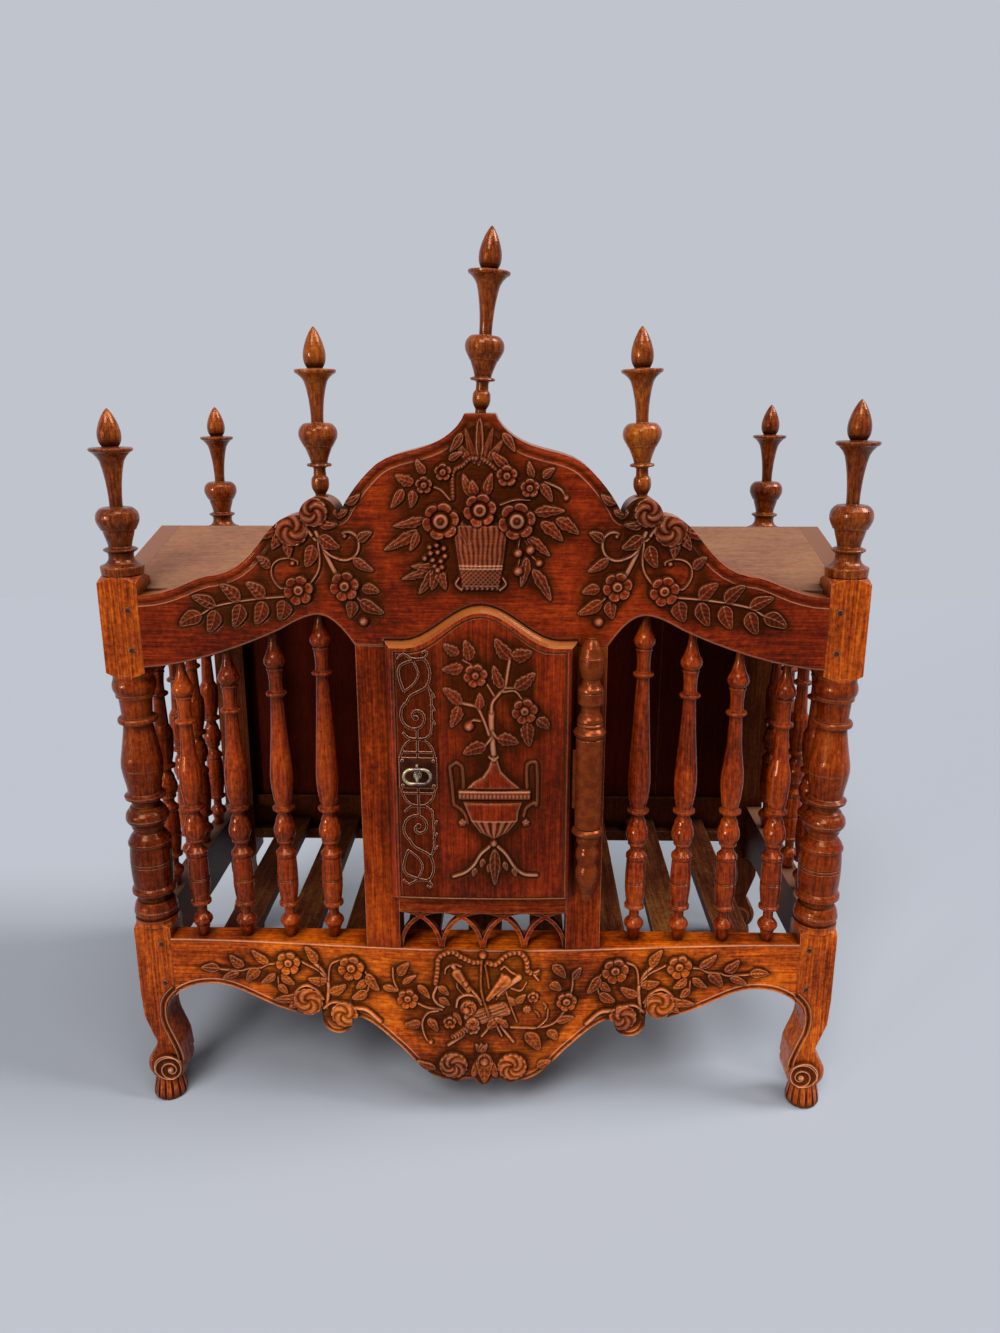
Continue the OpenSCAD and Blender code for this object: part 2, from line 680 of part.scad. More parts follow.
// Floor of loose slats on two ledgers
slat_top = floor_h - slat_drop;
ledger = 16;
module floor_slats() {
    pitch = (2 * span - 2 * slat_w) / slats + 2.6;
    color("#5b4632") for (i = [0:slats - 1]) {
        x = (i - (slats - 1) / 2) * pitch;
        box([x - slat_w / 2, rail_front_y + gap, slat_top - plank_t],
            [x + slat_w / 2, rear_rail_front_y - gap, slat_top]);
    }
}
module floor_ledgers() {
    z0 = slat_top - plank_t - ledger;
    color("#5b4632") {
        box([-span + 1, rail_front_y, z0], [span - 1, rail_front_y + ledger, z0 + ledger]);
        box([-span + 1, rear_rail_front_y - ledger, z0], [span - 1, rear_rail_front_y, z0 + ledger]);
    }
}

// Roof
roof_edge = half_w - rail_t;
module roof_board(front) {
    y0 = front ? rail_front_y + gap : mid_y + 1;
    y1 = front ? mid_y - 1 : back_y;
    notch_y = front ? front_y + post_size + gap : back_y - post_size - gap;
    color("#6b5340") difference() {
        side_view(-roof_edge + gap, roof_edge - gap) polygon([[y0, roof_z(y0)], [y1, roof_z(y1)],
            [y1, roof_z(y1) - roof_drop], [y0, roof_z(y0) - roof_drop]]);
        for (s = [-1, 1]) {
            x0 = s > 0 ? span - gap : -half_w;
            box([x0, front ? front_y - 1 : notch_y, roof_low_z - plank_t * 2],
                [x0 + half_w - span + gap, front ? notch_y : back_y + 1, post_top]);
        }
    }
}
module roof_board_front() { roof_board(true); }
module roof_board_rear() { roof_board(false); }
module roof_cleats() {
    y0 = front_y + post_size;
    y1 = back_y - post_size;
    ends = [[y0 + 1, mid_y - 13], [mid_y + 13, y1 - 1]];
    color("#5b4632") for (s = [-1, 1], e = ends)
        side_view(s > 0 ? roof_edge - ledger : -roof_edge, s > 0 ? roof_edge : -roof_edge + ledger)
            polygon([for (p = [[e[0], 0], [e[1], 0], [e[1], ledger], [e[0], ledger]])
                [p[0], roof_z(p[0]) - roof_drop - p[1]]]);
}
ridge_half = 12;
ridge_h = 30;
module ridge_section(half, low, ease) {
    peak = roof_z(mid_y) - roof_drop;
    side = roof_z(mid_y + half) - roof_drop;
    polygon([[mid_y - half - ease, low - ease], [mid_y + half + ease, low - ease],
        [mid_y + half + ease, side], [mid_y, peak], [mid_y - half - ease, side]]);
}
module ridge_tenon(s, ease) {
    x0 = s > 0 ? roof_edge - 1 : -roof_edge - 12 - ease;
    z0 = roof_z(mid_y) - roof_drop - ridge_h;
    box([x0, mid_y - 6 - ease, z0 + 5 - ease], [x0 + 13 + ease, mid_y + 6 + ease, z0 + 20 + ease]);
}
module ridge_beam() {
    z0 = roof_z(mid_y) - roof_drop - ridge_h;
    color("#5b4632") {
        side_view(-roof_edge, roof_edge) ridge_section(ridge_half, z0, 0);
        for (s = [-1, 1]) ridge_tenon(s, 0);
    }
}

// Spindles: the same rings from the foot up, a vase that takes up the length, and a pear at the top
function front_place(i) = i < front_spindles ? -spindle_x0 - (front_spindles - 1 - i) * spindle_pitch
    : spindle_x0 + (i - front_spindles) * spindle_pitch;
side_pitch = 0.94 * (depth - 2 * post_size) / (side_spindles + 1);
function side_place(i) = mid_y + (i - (side_spindles - 1) / 2) * side_pitch;
// Height of the crest's arch above a point, read from the drawn curve
function arch_height(x) = let (p = concat(crest_arch, [[stile_out, stile_top]]), ax = abs(x))
    max([for (k = [0:len(p) - 2]) let (a = p[k], b = p[k + 1])
        (ax <= a[0] && ax > b[0]) ? a[1] + (b[1] - a[1]) * (a[0] - ax) / (a[0] - b[0]) : 0]);
function spindle_top(i) = min(arch_height(front_place(i) - 4.3), arch_height(front_place(i) + 4.3));

spindle_foot = concat(
    [[4.3, -14], [4.3, 0], [6, 0.2]],
    curve([[6, 0.4], [7.6, 10], [8.6, 14]], 2),
    curve([[8.8, 14.5], [12, 20], [10.4, 25], [6.4, 29.5]], 2),
    [[6, 31], [6, 38], [7, 41.5], [12, 43], [12, 46], [10, 47.5]],
    curve([[10, 48], [12.1, 66], [12.2, 75]], 2),
    [[11.2, 76], [12.2, 77], [11.2, 78], [12.2, 79]],
    curve([[12.2, 80], [12, 90], [11.3, 103]], 2),
    [[10.4, 105], [12.2, 108], [12.2, 112], [10, 114.5]],
    [[7.6, 117.5], [7.4, 122], [10.4, 125.5], [10.4, 127.5]],
    curve([[9.8, 128], [12.8, 135], [13, 143], [10.4, 150.5]], 3),
    [[10.4, 152.5], [9.4, 156], [7.4, 159.5], [7.2, 164], [12.6, 166.5], [12.9, 169.5], [9.4, 171.5]],
    curve([[9.3, 173], [11.6, 184], [13.3, 203], [13, 216]], 3)
);
spindle_head = concat(
    curve([[9, -112], [7.2, -76]], 2),
    [[7.4, -75]],
    curve([[8, -74.8], [11.6, -72.5], [11.6, -69.5], [8, -67.4]], 2),
    curve([[7.9, -66.6], [7.6, -57], [8.8, -44.5]], 2),
    [[9.7, -43], [9.7, -41.2], [8.6, -40.4]],
    curve([[9, -40], [12.2, -34.5], [11.6, -29], [8, -21], [5.2, -10], [4.3, -1]], 3),
    [[4.3, 14]]
);
spindle_k = spindle_r / 13;
module spindle(x, y, low, high) {
    widths = [for (p = concat(lift(spindle_foot, low), lift(spindle_head, high)))
        [p[0] <= spindle_peg_r ? p[0] : p[0] * spindle_k, p[1]]];
    color("#9a4811") translate([x, y, 0]) turned(widths);
}
module spindle_socket(x, y, z, up) {
    l = spindle_peg_l + 1;
    translate([x, y, up > 0 ? z - 5 : z - l])
        cylinder(r = spindle_peg_r + fit, h = up > 0 ? l + 5 : l + 1, $fn = 24);
}
module front_spindle(i) {
    if (i < 2 * front_spindles) spindle(front_place(i), spindle_y, floor_h, spindle_top(i));
}
module spindle_front_1() { front_spindle(0); }
module spindle_front_2() { front_spindle(1); }
module spindle_front_3() { front_spindle(2); }
module spindle_front_4() { front_spindle(3); }
module spindle_front_5() { front_spindle(4); }
module spindle_front_6() { front_spindle(5); }
module spindle_front_7() { front_spindle(6); }
module spindle_front_8() { front_spindle(7); }
module side_spindle_set(s) {
    for (i = [0:side_spindles - 1]) spindle(s * side_x, side_place(i), side_rail_top, side_rail_ends[1][0]);
}
module side_spindles_left() { side_spindle_set(-1); }
module side_spindles_right() { side_spindle_set(1); }

// Finials: an urn, a flared candle cup and an egg; the corner ones stand on a drum
finial_k = finial_r / 23.5;
finial_tall = finial_h / 183;
// The cup from its foot to its rim, and the egg in it
function finial_cup(k, foot, rim) = let (l = rim - foot) [for (p = concat(
    curve([[7, foot], [7.3, foot + l * 0.2], [8.8, foot + l * 0.48], [11.2, foot + l * 0.71]], 2),
    curve([[12.9, foot + l * 0.82], [15.6, foot + l * 0.9], [20.2, rim - 1.2]], 2),
    [[22.6, rim], [23.4, rim + 1.5], [23.4, rim + 3], [22, rim + 3.9], [9.4, rim + 4.2], [8.7, rim + 5]],
    curve([[9.3, rim + 5.8], [11.6, rim + 10], [12.6, rim + 16], [12, rim + 23], [9.6, rim + 31]], 2),
    curve([[7.4, rim + 36], [4, rim + 42], [0.6, rim + 46]], 2)
)) [p[0] * k, p[1]]];
corner_finial = concat(
    [[7, -19], [7, 0], [22.9, 0], [23.72, 8.4], [23.2, 9.6]],
    curve([[20.8, 10.5], [16.8, 12.8], [14.1, 16.8], [13.5, 20.5], [13.9, 24]], 2),
    [[18.1, 26.9], [18.7, 28.1], [17.6, 29.1], [12.9, 30.7]],
    curve([[12.5, 31.6], [13.5, 36.5], [15.5, 43], [17.1, 49.4]], 2),
    [[19, 50.6], [19.3, 51.8]],
    curve([[20.4, 53.6], [22.9, 59.5], [23.2, 64.5], [21.9, 69.8], [18.4, 73.8]], 2),
    [[16.4, 75], [14, 75.3], [7.6, 75.4]],
    finial_cup(1, 76, 137)
);
function crest_finial(rim) = concat(
    [[4.5, -15], [4.5, 0], [5.9, 0], [5.7, 3]],
    curve([[6, 4.4], [8.6, 9], [9.6, 14], [9.1, 20]], 2),
    [[8.2, 21.4], [6.8, 23], [6.4, 30.5], [7.6, 32], [12.6, 33], [13.3, 34.2], [12.6, 35.6], [8.9, 36.6]],
    curve([[8.8, 37.2], [10.2, 42], [12.4, 48], [14.4, 53]], 2),
    [[15.6, 53.7], [15.8, 54.9]],
    curve([[16.8, 56.4], [19.8, 62], [20.6, 67.4], [19.4, 72.4], [16.4, 76.2]], 2),
    [[14.6, 77.4], [12, 78], [6.9, 78.2]],
    finial_cup(0.935, 79, rim)
);
module finial(points, tall = 1) {
    color("#8a3d10") turned([for (p = points)
        [p[1] <= 0 ? min(p[0], p[0] == points[0][0] ? p[0] : p[0] * finial_k) : p[0] * finial_k,
            p[1] <= 0 ? p[1] : p[1] * finial_tall * tall]]);
}
// Turned by hand: no two of the corner finials stand quite as tall
module finial_front_left() { translate([-post_x, post_front_y, post_top]) finial(corner_finial, 0.98); }
module finial_front_right() { translate([post_x, post_front_y, post_top]) finial(corner_finial, 1.03); }
module finial_rear_left() { translate([-post_x, post_rear_y, rear_top]) finial(corner_finial, 0.995); }
module finial_rear_right() { translate([post_x, post_rear_y, rear_top]) finial(corner_finial, 1.01); }

// Crest finials: s is -1, 0 or 1; the seat is spot-faced in the scroll or the peak
function crest_finial_z(s) = s == 0 ? crest_end_z + crest_rise : lobe_z() + lobe_r - 2;
function crest_finial_tilt(s) = s == 0 ? finial_lean : (s > 0 ? -finial_lean / 2 : 0);
module at_crest(s) {
    translate([s * lobe_x, crest_finial_y, crest_finial_z(s)])
        rotate([0, crest_finial_tilt(s), 0]) children();
}
module crest_finial_seat(s) {
    at_crest(s) {
        translate([0, 0, -16]) cylinder(r = crest_peg_r + fit, h = 20, $fn = 24);
        cylinder(r = 8, h = 12, $fn = 32);
    }
}
module finial_crest_left() { at_crest(-1) finial(crest_finial(128.8)); }
module finial_crest_right() { at_crest(1) finial(crest_finial(128.8)); }
module finial_crest_middle() { at_crest(0) finial(crest_finial(137)); }

module joint_pegs() {
    color("#5a2a0e") {
        face_pegs(0, [-1, 1], true);
        face_pegs(0, [-1, 1], false);
    }
}

// Hinge: two turned knuckles leafed into the right stile, and a barrel leafed into the door
upper_leaf_z = [barrel_z + barrel_l + 12, barrel_z + barrel_l + 52];
lower_leaf_z = [barrel_z - 52, barrel_z - 12];
door_leaf_z = [barrel_z + 18, barrel_z + barrel_l - 18];
leaf_back = front_y - 2;
module hinge_leaf(z, ease, extra) {
    y0 = hinge_y + rod_r + 3;
    box([hinge_x - leaf_t / 2 - ease, y0, z[0] - ease],
        [hinge_x + leaf_t / 2 + ease, leaf_back + ease, z[1] + ease]);
}
module door_leaf(ease) {
    translate([hinge_x, hinge_y, 0]) rotate([0, 0, leaf_angle])
        box([rod_r + 3, -leaf_t / 2 - ease, door_leaf_z[0] - ease],
            [38 + ease, leaf_t / 2 + ease, door_leaf_z[1] + ease]);
}
module knuckle(points, rod_from, rod_to, leaf) {
    color("#7d5a38") difference() {
        union() {
            translate([hinge_x, hinge_y, 0]) turned(points);
            hinge_leaf(leaf, 0);
        }
        translate([hinge_x, hinge_y, rod_from])
            cylinder(r = rod_r + running, h = rod_to - rod_from, $fn = 32);
    }
}
hinge_k = barrel_r / 15;
rod_reach = 43 * hinge_k;
knuckle_up = concat(
    [[barrel_r, 0.4], [hinge_ring_r - 2, 1.4]],
    curve([[hinge_ring_r - 1, 3], [hinge_ring_r, 7], [hinge_ring_r - 3, 11]], 2),
    [[14, 12], [14.6, 16], [13.4, 17.5], [14.6, 20], [14, 22]],
    curve([[13.8, 23], [10.8, 29], [10.6, 38]], 2),
    [[13.8, 39.5], [13.8, 52], [12.6, 52.6], [14, 54], [13.4, 57]],
    curve([[12.6, 58], [9.8, 63], [9.6, 67]], 2),
    curve([[10.6, 68.5], [13.2, 76], [13.7, 84], [13.2, 91]], 2),
    [[12.6, 91.6], [13, 92.4]],
    curve([[12.8, 93], [10.8, 102], [6.6, 110]], 2),
    [[4.8, 110.6], [4.8, 113]]
);
knuckle_down = concat(
    [[barrel_r, -0.4], [hinge_ring_r - 2, -1.4]],
    curve([[hinge_ring_r - 1, -2.5], [hinge_ring_r, -6], [hinge_ring_r - 4, -10.5]], 2),
    [[12, -11.5], [12.4, -14], [12.4, -18], [11, -20], [10.4, -24]],
    curve([[11, -26], [12.8, -31], [12.6, -37], [11.4, -42]], 2),
    [[10.6, -43], [10.6, -46]],
    curve([[10.8, -48], [12.9, -55], [12.4, -65], [9.6, -76], [7.4, -82]], 3),
    curve([[6.8, -83], [6, -90], [0.4, -98]], 2)
);
module hinge_upper_knuckle() {
    base = barrel_z + barrel_l + gap;
    knuckle(lift(hinge_k * knuckle_up, base), base - 1, base + rod_reach + 1, upper_leaf_z);
}
module hinge_lower_knuckle() {
    base = barrel_z - gap;
    knuckle(lift(hinge_k * knuckle_down, base), base - rod_reach - 1, base + 1, lower_leaf_z);
}
module hinge_rod() {
    z0 = barrel_z - gap - rod_reach;
    color("#6b6259") translate([hinge_x, hinge_y, z0])
        cylinder(r = rod_r, h = barrel_l + 2 * (gap + rod_reach), $fn = 32);
}
module hinge_barrel() {
    color("#8b5d33") difference() {
        union() {
            translate([hinge_x, hinge_y, 0]) turned([[barrel_r - 0.6, barrel_z], [barrel_r, barrel_z + 0.8],
                [barrel_r, barrel_z + barrel_l - 0.8], [barrel_r - 0.6, barrel_z + barrel_l]]);
            door_leaf(0);
        }
        translate([hinge_x, hinge_y, barrel_z - 1])
            cylinder(r = rod_r + running, h = barrel_l + 2, $fn = 32);
    }
}

// Door: a moulded front lofted round its arched outline, and a core that fills the doorway
door_columns = 22;
door_foot = 0.3;
door_mould = [[0, gap], [0, 4], [1, 6.4], [3.2, 9.2], [6, door_proud + 0.6], [9, door_proud + 1.2],
    [10, door_proud + 1], [11.4, door_proud - 0.8], [12.4, door_proud]];
function door_x(i, inset) = (2 * i / door_columns - 1) * (door_half - inset);
function door_loop(inset, out) = concat(
    [for (i = [0:door_columns]) let (x = door_x(i, inset))
        [x, face_y(x) - out, door_low + door_foot * inset]],
    [for (i = [door_columns:-1:0]) let (x = door_x(i, inset))
        [x, face_y(x) - out, door_arch(door_x(i, 0)) - inset]]
);
module door_front() {
    rings = len(door_mould);
    n = 2 * (door_columns + 1);
    last = (rings - 1) * n;
    points = [for (m = door_mould) each door_loop(m[0], m[1])];
    walls = [for (k = [0:rings - 2], i = [0:n - 1]) let (a = k * n + i, b = k * n + (i + 1) % n)
        each [[a, a + n, b], [b, a + n, b + n]]];
    back = [for (i = [0:door_columns - 1]) each [[i, i + 1, n - 1 - i], [i + 1, n - 2 - i, n - 1 - i]]];
    front = [for (i = [0:door_columns - 1]) each
        [[last + i, last + n - 1 - i, last + i + 1], [last + i + 1, last + n - 1 - i, last + n - 2 - i]]];
    polyhedron(points = points, faces = concat(walls, back, front));
}
module door() {
    color("#96440f") difference() {
        union() {
            door_front();
            intersection() {
                front_view(front_y - 40, front_y + 40) doorway_outline(-edge_gap);
                linear_extrude(height = 1200) bow_plan(-doorway_half, doorway_half, 1,
                    [for (i = [4:-1:-4]) let (x = i * doorway_half / 4) [x, face_y(x) + door_core_t]]);
            }
        }
        translate([lock_x, front_y - 60, lock_z]) rotate([-90, 0, 0])
            cylinder(r = key_hole_r, h = 100, $fn = 32);
        door_leaf(fit);
        case_pocket();
    }
}

// Lock: a pierced plate on the face, and a case on the back with its bolt
plate_y = 0.15;
module plate_sheet(t) {
    x0 = lock_x - plate_w / 2;
    xs = [for (i = [0:4]) x0 + plate_w * i / 4];
    linear_extrude(height = 1200) polygon(concat(
        [for (x = xs) [x, face_y(x) - door_proud - plate_y - t]],
        [for (i = [4:-1:0]) [xs[i], face_y(xs[i]) - door_proud - plate_y]]));
}
// A bar of even width along a line of points
function across(p, k, w) = let (d = p[min(k + 1, len(p) - 1)] - p[max(k - 1, 0)])
    w / 2 * [-d[1], d[0]] / norm(d);
module strip(p, w = 3) {
    n = len(p) - 1;
    polygon(concat([for (k = [0:n]) p[k] - across(p, k, w)], [for (k = [n:-1:0]) p[k] + across(p, k, w)]));
}
// Half of the pierced pattern, from the solid middle upwards: bars, a spiral, a leaf and a crest
module plate_half() {
    scale([plate_w / 48, plate_h / 294]) {
        translate([-24, 0]) square([48, 19]);
        translate([-1.6, 18]) square([3.2, 37]);
        translate([-21, 24]) square([40, 2.6]);
        for (s = [-1, 1]) {
            strip(curve([[s * 22, 17], [s * 18, 31], [s * 9, 39.5], [0, 41]], 2), 2.8);
            strip(curve([[s * 2, 41.5], [s * 11, 42.5], [s * 18, 49]], 2), 2.8);
        }
        strip([for (t = [0:18]) let (r = 20.5 - t, w = 130 + t * 24)
            [r * cos(w) - 1.5, 68 + r * sin(w)]], 3.2);
        translate([-1, 66.6]) circle(r = 3.4, $fn = 24);
        strip(curve([[-13.8, 82.6], [-9.5, 90], [-4, 95], [9, 101], [14.5, 107], [17.5, 119], [14.5, 131],
            [8, 136.5], [-4.6, 134], [-16, 130], [-21.5, 123], [-19.5, 109.5], [-15, 98]], 2), 3.2);
        strip(curve([[-15.4, 97.4], [-6, 104], [1, 112], [3, 121], [-3, 134]], 2), 2.6);
        strip(curve([[14, 106], [18.5, 92], [18.5, 70], [17.8, 56], [17, 48]], 2), 2.6);
        for (z = [62, 78, 94]) strip([[17.5, z + 5], [21, z + 1], [22.6, z - 3]], 2.4);
        strip(curve([[-22.4, 136], [-15, 142], [-7, 137.5], [1, 136], [9, 136.6], [14.5, 141.5], [12, 145.4],
            [8.4, 143]], 2), 2.6);
    }
}
module lock_plate() {
    color("#3b2417") difference() {
        intersection() {
            front_view(front_y - 60, front_y) translate([lock_x, lock_z]) {
                plate_half();
                mirror([0, 1]) plate_half();
            }
            plate_sheet(plate_t);
        }
        translate([lock_x, front_y - 70, lock_z]) rotate([-90, 0, 0])
            cylinder(r = key_r + 0.8, h = 80, $fn = 32);
        plate_pin_holes();
    }
}
module at_plate_pins() {
    for (s = [-1, 1], sz = [-1, 1]) {
        x = lock_x + s * (plate_w / 2 - 4);
        translate([x, face_y(x) - door_proud - plate_y - plate_t, lock_z + sz * 15])
            rotate([-90, 0, 0]) children();
    }
}
module plate_pin_holes() {
    at_plate_pins() translate([0, 0, -10]) cylinder(r = 1.25, h = 20, $fn = 16);
}
module plate_pins() {
    color("#2e2019") at_plate_pins()
        turned([[1.6, -1.45], [2, -0.85], [2, -0.25], [1, -0.15], [1, plate_t - 0.1]]);
}

// The case is let 1 mm into the door's back
case_front = face_y(lock_x) + door_core_t - 1;
module case_pocket() {
    box([case_left - fit, case_front - fit, lock_z - case_half_h - fit],
        [case_right + fit, case_front + 20, lock_z + case_half_h + fit]);
}
module lock_case() {
    w = case_wall;
    color("#4c4642") difference() {
        box([case_left, case_front, lock_z - case_half_h],
            [case_right, case_front + case_t, lock_z + case_half_h]);
        box([case_left + w, case_front + w, lock_z - case_half_h + w],
            [case_right - w, case_front + case_t + 1, lock_z + case_half_h - w]);
        box([case_left - 1, bolt_y - running - 0.1, lock_z + bolt_lift - 0.2],
            [case_left + w + 1, bolt_y + bolt_t + 0.2, lock_z + bolt_lift + bolt_h + 0.2]);
        translate([lock_x, case_front - 1, lock_z]) rotate([-90, 0, 0])
            cylinder(r = key_r + running, h = w + 2, $fn = 32);
        at_lock_screws() translate([0, 0, 0]) cylinder(r = 1.3, h = 60, $fn = 16);
    }
    for (z = [-1, 1], x = [case_left + 5.5, case_right - 5.5])
        color("#4c4642") difference() {
            box([x - 3.5, case_front + 1, lock_z + z * (case_half_h - 5.5) - 3.5],
                [x + 3.5, case_front + case_t - 0.1, lock_z + z * (case_half_h - 5.5) + 3.5]);
            at_lock_screws() cylinder(r = 1.3, h = 60, $fn = 16);
        }
}
module at_lock_screws() {
    for (z = [-1, 1], x = [case_left + 5.5, case_right - 5.5])
        translate([x, case_front + 1, lock_z + z * (case_half_h - 5.5)]) rotate([-90, 0, 0]) children();
}
module lock_cover() {
    color("#4c4642") difference() {
        box([case_left, case_front + case_t, lock_z - case_half_h],
            [case_right, case_front + case_t + 1.5, lock_z + case_half_h]);
        at_lock_screws() cylinder(r = 1.3, h = 60, $fn = 16);
    }
}
module lock_screws() {
    color("#3a3633") at_lock_screws() translate([0, 0, case_t - 8])
        turned([[1.2, 0], [1.2, 8.6], [2.8, 8.6], [2.4, 10.2]]);
}
module lock_bolt() {
    x0 = case_left - 0.5;
    z0 = lock_z + bolt_lift;
    color("#6a6560") difference() {
        box([x0, bolt_y, z0], [case_right - case_wall - 1, bolt_y + bolt_t, z0 + bolt_h]);
        box([lock_x + notch_left, bolt_y - 1, z0 - 1], [lock_x + notch_right, bolt_y + bolt_t + 1, z0 + 5]);
    }
}

// Key: an oval bow, a shank through the door and a bit inside the case
key_front = face_y(lock_x) - door_proud - 17;
module key() {
    tip = bolt_y + bolt_t;
    color("#5a5048") translate([lock_x, 0, lock_z]) rotate([-90, 0, 0]) {
        translate([0, 0, key_front + 4]) cylinder(r = key_r, h = tip - key_front - 4, $fn = 32);
        translate([0, 0, key_front + 8]) cylinder(r = key_r + 1.6, h = 3, $fn = 32);
        translate([0, -bit_t / 2, bolt_y]) cube([bit_reach, bit_t, bolt_t]);
        translate([0, 0, key_front + 4]) key_bow();
    }
}
bow_r = 8.4;
bow_off = 6.5;
bow_wire = 1.9;
module key_bow() {
    for (s = [-1, 1]) {
        intersection() {
            translate([s * bow_off, 0, 0]) rotate_extrude($fn = 40)
                translate([bow_r, 0]) circle(r = bow_wire, $fn = 20);
            translate([s > 0 ? bow_off : -bow_off - 12, -12, -3]) cube([12, 24, 6]);
        }
        translate([-bow_off, s * bow_r, 0]) rotate([0, 90, 0])
            cylinder(r = bow_wire, h = 2 * bow_off, $fn = 20);
    }
    translate([0, -bow_r, 0]) rotate([-90, 0, 0]) cylinder(r = 1.7, h = 2 * bow_r, $fn = 20);
    translate([0, -bow_r - 6, 0]) rotate([-90, 0, 0]) cylinder(r = 1.6, h = 6, $fn = 20);
}

post_front_left();
post_front_right();
post_rear_left();
post_rear_right();
crest_rail();
apron_rail();
stile_left();
stile_right();
sill_rail();
gallery();
side_top_rail_left();
side_top_rail_right();
side_bottom_rail_left();
side_bottom_rail_right();
rear_top_rail();
rear_bottom_rail();
back_panel();
floor_slats();
floor_ledgers();
roof_board_front();
roof_board_rear();
roof_cleats();
ridge_beam();
spindle_front_1();
spindle_front_2();
spindle_front_3();
spindle_front_4();
spindle_front_5();
spindle_front_6();
spindle_front_7();
spindle_front_8();
side_spindles_left();
side_spindles_right();
finial_front_left();
finial_front_right();
finial_rear_left();
finial_rear_right();
finial_crest_left();
finial_crest_right();
finial_crest_middle();
joint_pegs();
hinge_upper_knuckle();
hinge_lower_knuckle();
hinge_rod();
door();
hinge_barrel();
lock_plate();
plate_pins();
lock_case();
lock_cover();
lock_screws();
lock_bolt();
key();
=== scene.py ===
"""Looks of a carved walnut bread cupboard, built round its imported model.

The carving of the crest, the apron and the door is cut as heights over the boards' faces.
Lengths in the shapes below are millimetres, and a mesh gets them in metres.
x runs to the right, y back from the middle of the cupboard, z up from the floor.
"""

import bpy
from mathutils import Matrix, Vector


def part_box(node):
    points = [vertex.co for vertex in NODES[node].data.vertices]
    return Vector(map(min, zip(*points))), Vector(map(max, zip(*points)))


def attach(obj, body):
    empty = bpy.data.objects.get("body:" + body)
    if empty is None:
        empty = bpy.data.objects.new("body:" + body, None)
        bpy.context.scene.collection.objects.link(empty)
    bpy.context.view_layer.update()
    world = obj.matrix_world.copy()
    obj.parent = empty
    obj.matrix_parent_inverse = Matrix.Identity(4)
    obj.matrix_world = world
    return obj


bl_info = {
    "name": "Carved Walnut Bread Cupboard",
    "version": (1, 0, 0),
    "blender": (4, 5, 0),
    "location": "View3D > Sidebar > Bread Cupboard",
    "description": "Carved rails and door, scrolled feet, finishes and stage of a bread cupboard",
    "category": "Object",
}
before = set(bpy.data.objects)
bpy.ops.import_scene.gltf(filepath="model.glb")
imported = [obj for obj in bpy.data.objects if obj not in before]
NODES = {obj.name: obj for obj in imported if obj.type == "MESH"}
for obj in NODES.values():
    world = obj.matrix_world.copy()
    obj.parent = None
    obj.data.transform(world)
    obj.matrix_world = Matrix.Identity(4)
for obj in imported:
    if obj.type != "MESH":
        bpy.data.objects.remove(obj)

import math

import bpy
import numpy as np
from mathutils import Matrix, Vector

MM = 0.001


def node_box(name):
    """The lowest and the highest corner of a CAD node in millimetres, to the nearest hundredth."""
    return [[round(v / MM, 2) for v in corner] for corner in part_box(name)]


# The boards' sizes. The boxes of the CAD nodes give the outer ones, and these values the shapes within them.
TENON = 24.0
BOW = 19.0
CREST_END_H = 82.0
ARCH_RISE = 64.0
STILE_RISE = 30.0
LOBE_X = 173.0
LOBE_R = 21.0
LOBE_DROP = 107.0
PEAK_HALF = 16.0
APRON_END = 79.0
DOOR_RISE = 40.0
DOOR_FLAT = 87.57
DOOR_PROUD = 11.0
(_, crest_front, CAGE_TOP), (crest_side, _, CREST_PEAK) = node_box("crest_rail")
(_, _, APRON_FOOT), (_, _, FLOOR_H) = node_box("apron_rail")
(_, _, DOOR_LOW), (DOOR_HALF, _, door_top) = node_box("door")
FRONT_Y = crest_front + BOW
SPAN = crest_side - TENON
CREST_END_Z = CAGE_TOP + CREST_END_H
STILE_OUT = node_box("stile_right")[1][0]
STILE_TOP = CAGE_TOP + STILE_RISE
DOOR_SHOULDER = door_top - DOOR_RISE

# Places of the carved forms on the boards' faces.
# A leaf: x and z of its base, x and z of its tip, its width.
# A flower: x and z of its centre, its radius, its button's radius, the number of petals.
# A berry or scroll: x, z, radius. A stem: half its width, then its points.
# The crest's garland, drawn for the left side and mirrored for the right
CREST_SPRAY_LEAVES = [(-309.7, 633.3, -335.6, 620.5, 14.7), (-293.5, 638, -303.4, 612.9, 14.7),
    (-293.1, 642.6, -319.3, 653.5, 12.4), (-264.7, 645.3, -274.5, 619.1, 14.7),
    (-265.6, 648.6, -286.7, 667.3, 13.5), (-238.6, 649.1, -249.3, 623, 14.6),
    (-237.3, 652.5, -257.4, 669.9, 13.5), (-214.9, 650.6, -221.9, 628.1, 15.7),
    (-229.5, 685.8, -243.2, 698.8, 10), (-180.5, 711.6, -189.5, 687.6, 13.2),
    (-172.4, 721.4, -151.1, 708.8, 13.1), (-131.2, 716.6, -115.7, 726.4, 9.8),
    (-137.3, 698.1, -115, 684.3, 9.8), (-128.8, 665.5, -109.2, 661.4, 11),
    (-131.5, 652.2, -105.5, 638.2, 12.1), (-140.3, 652.1, -143.3, 632, 12.1)]
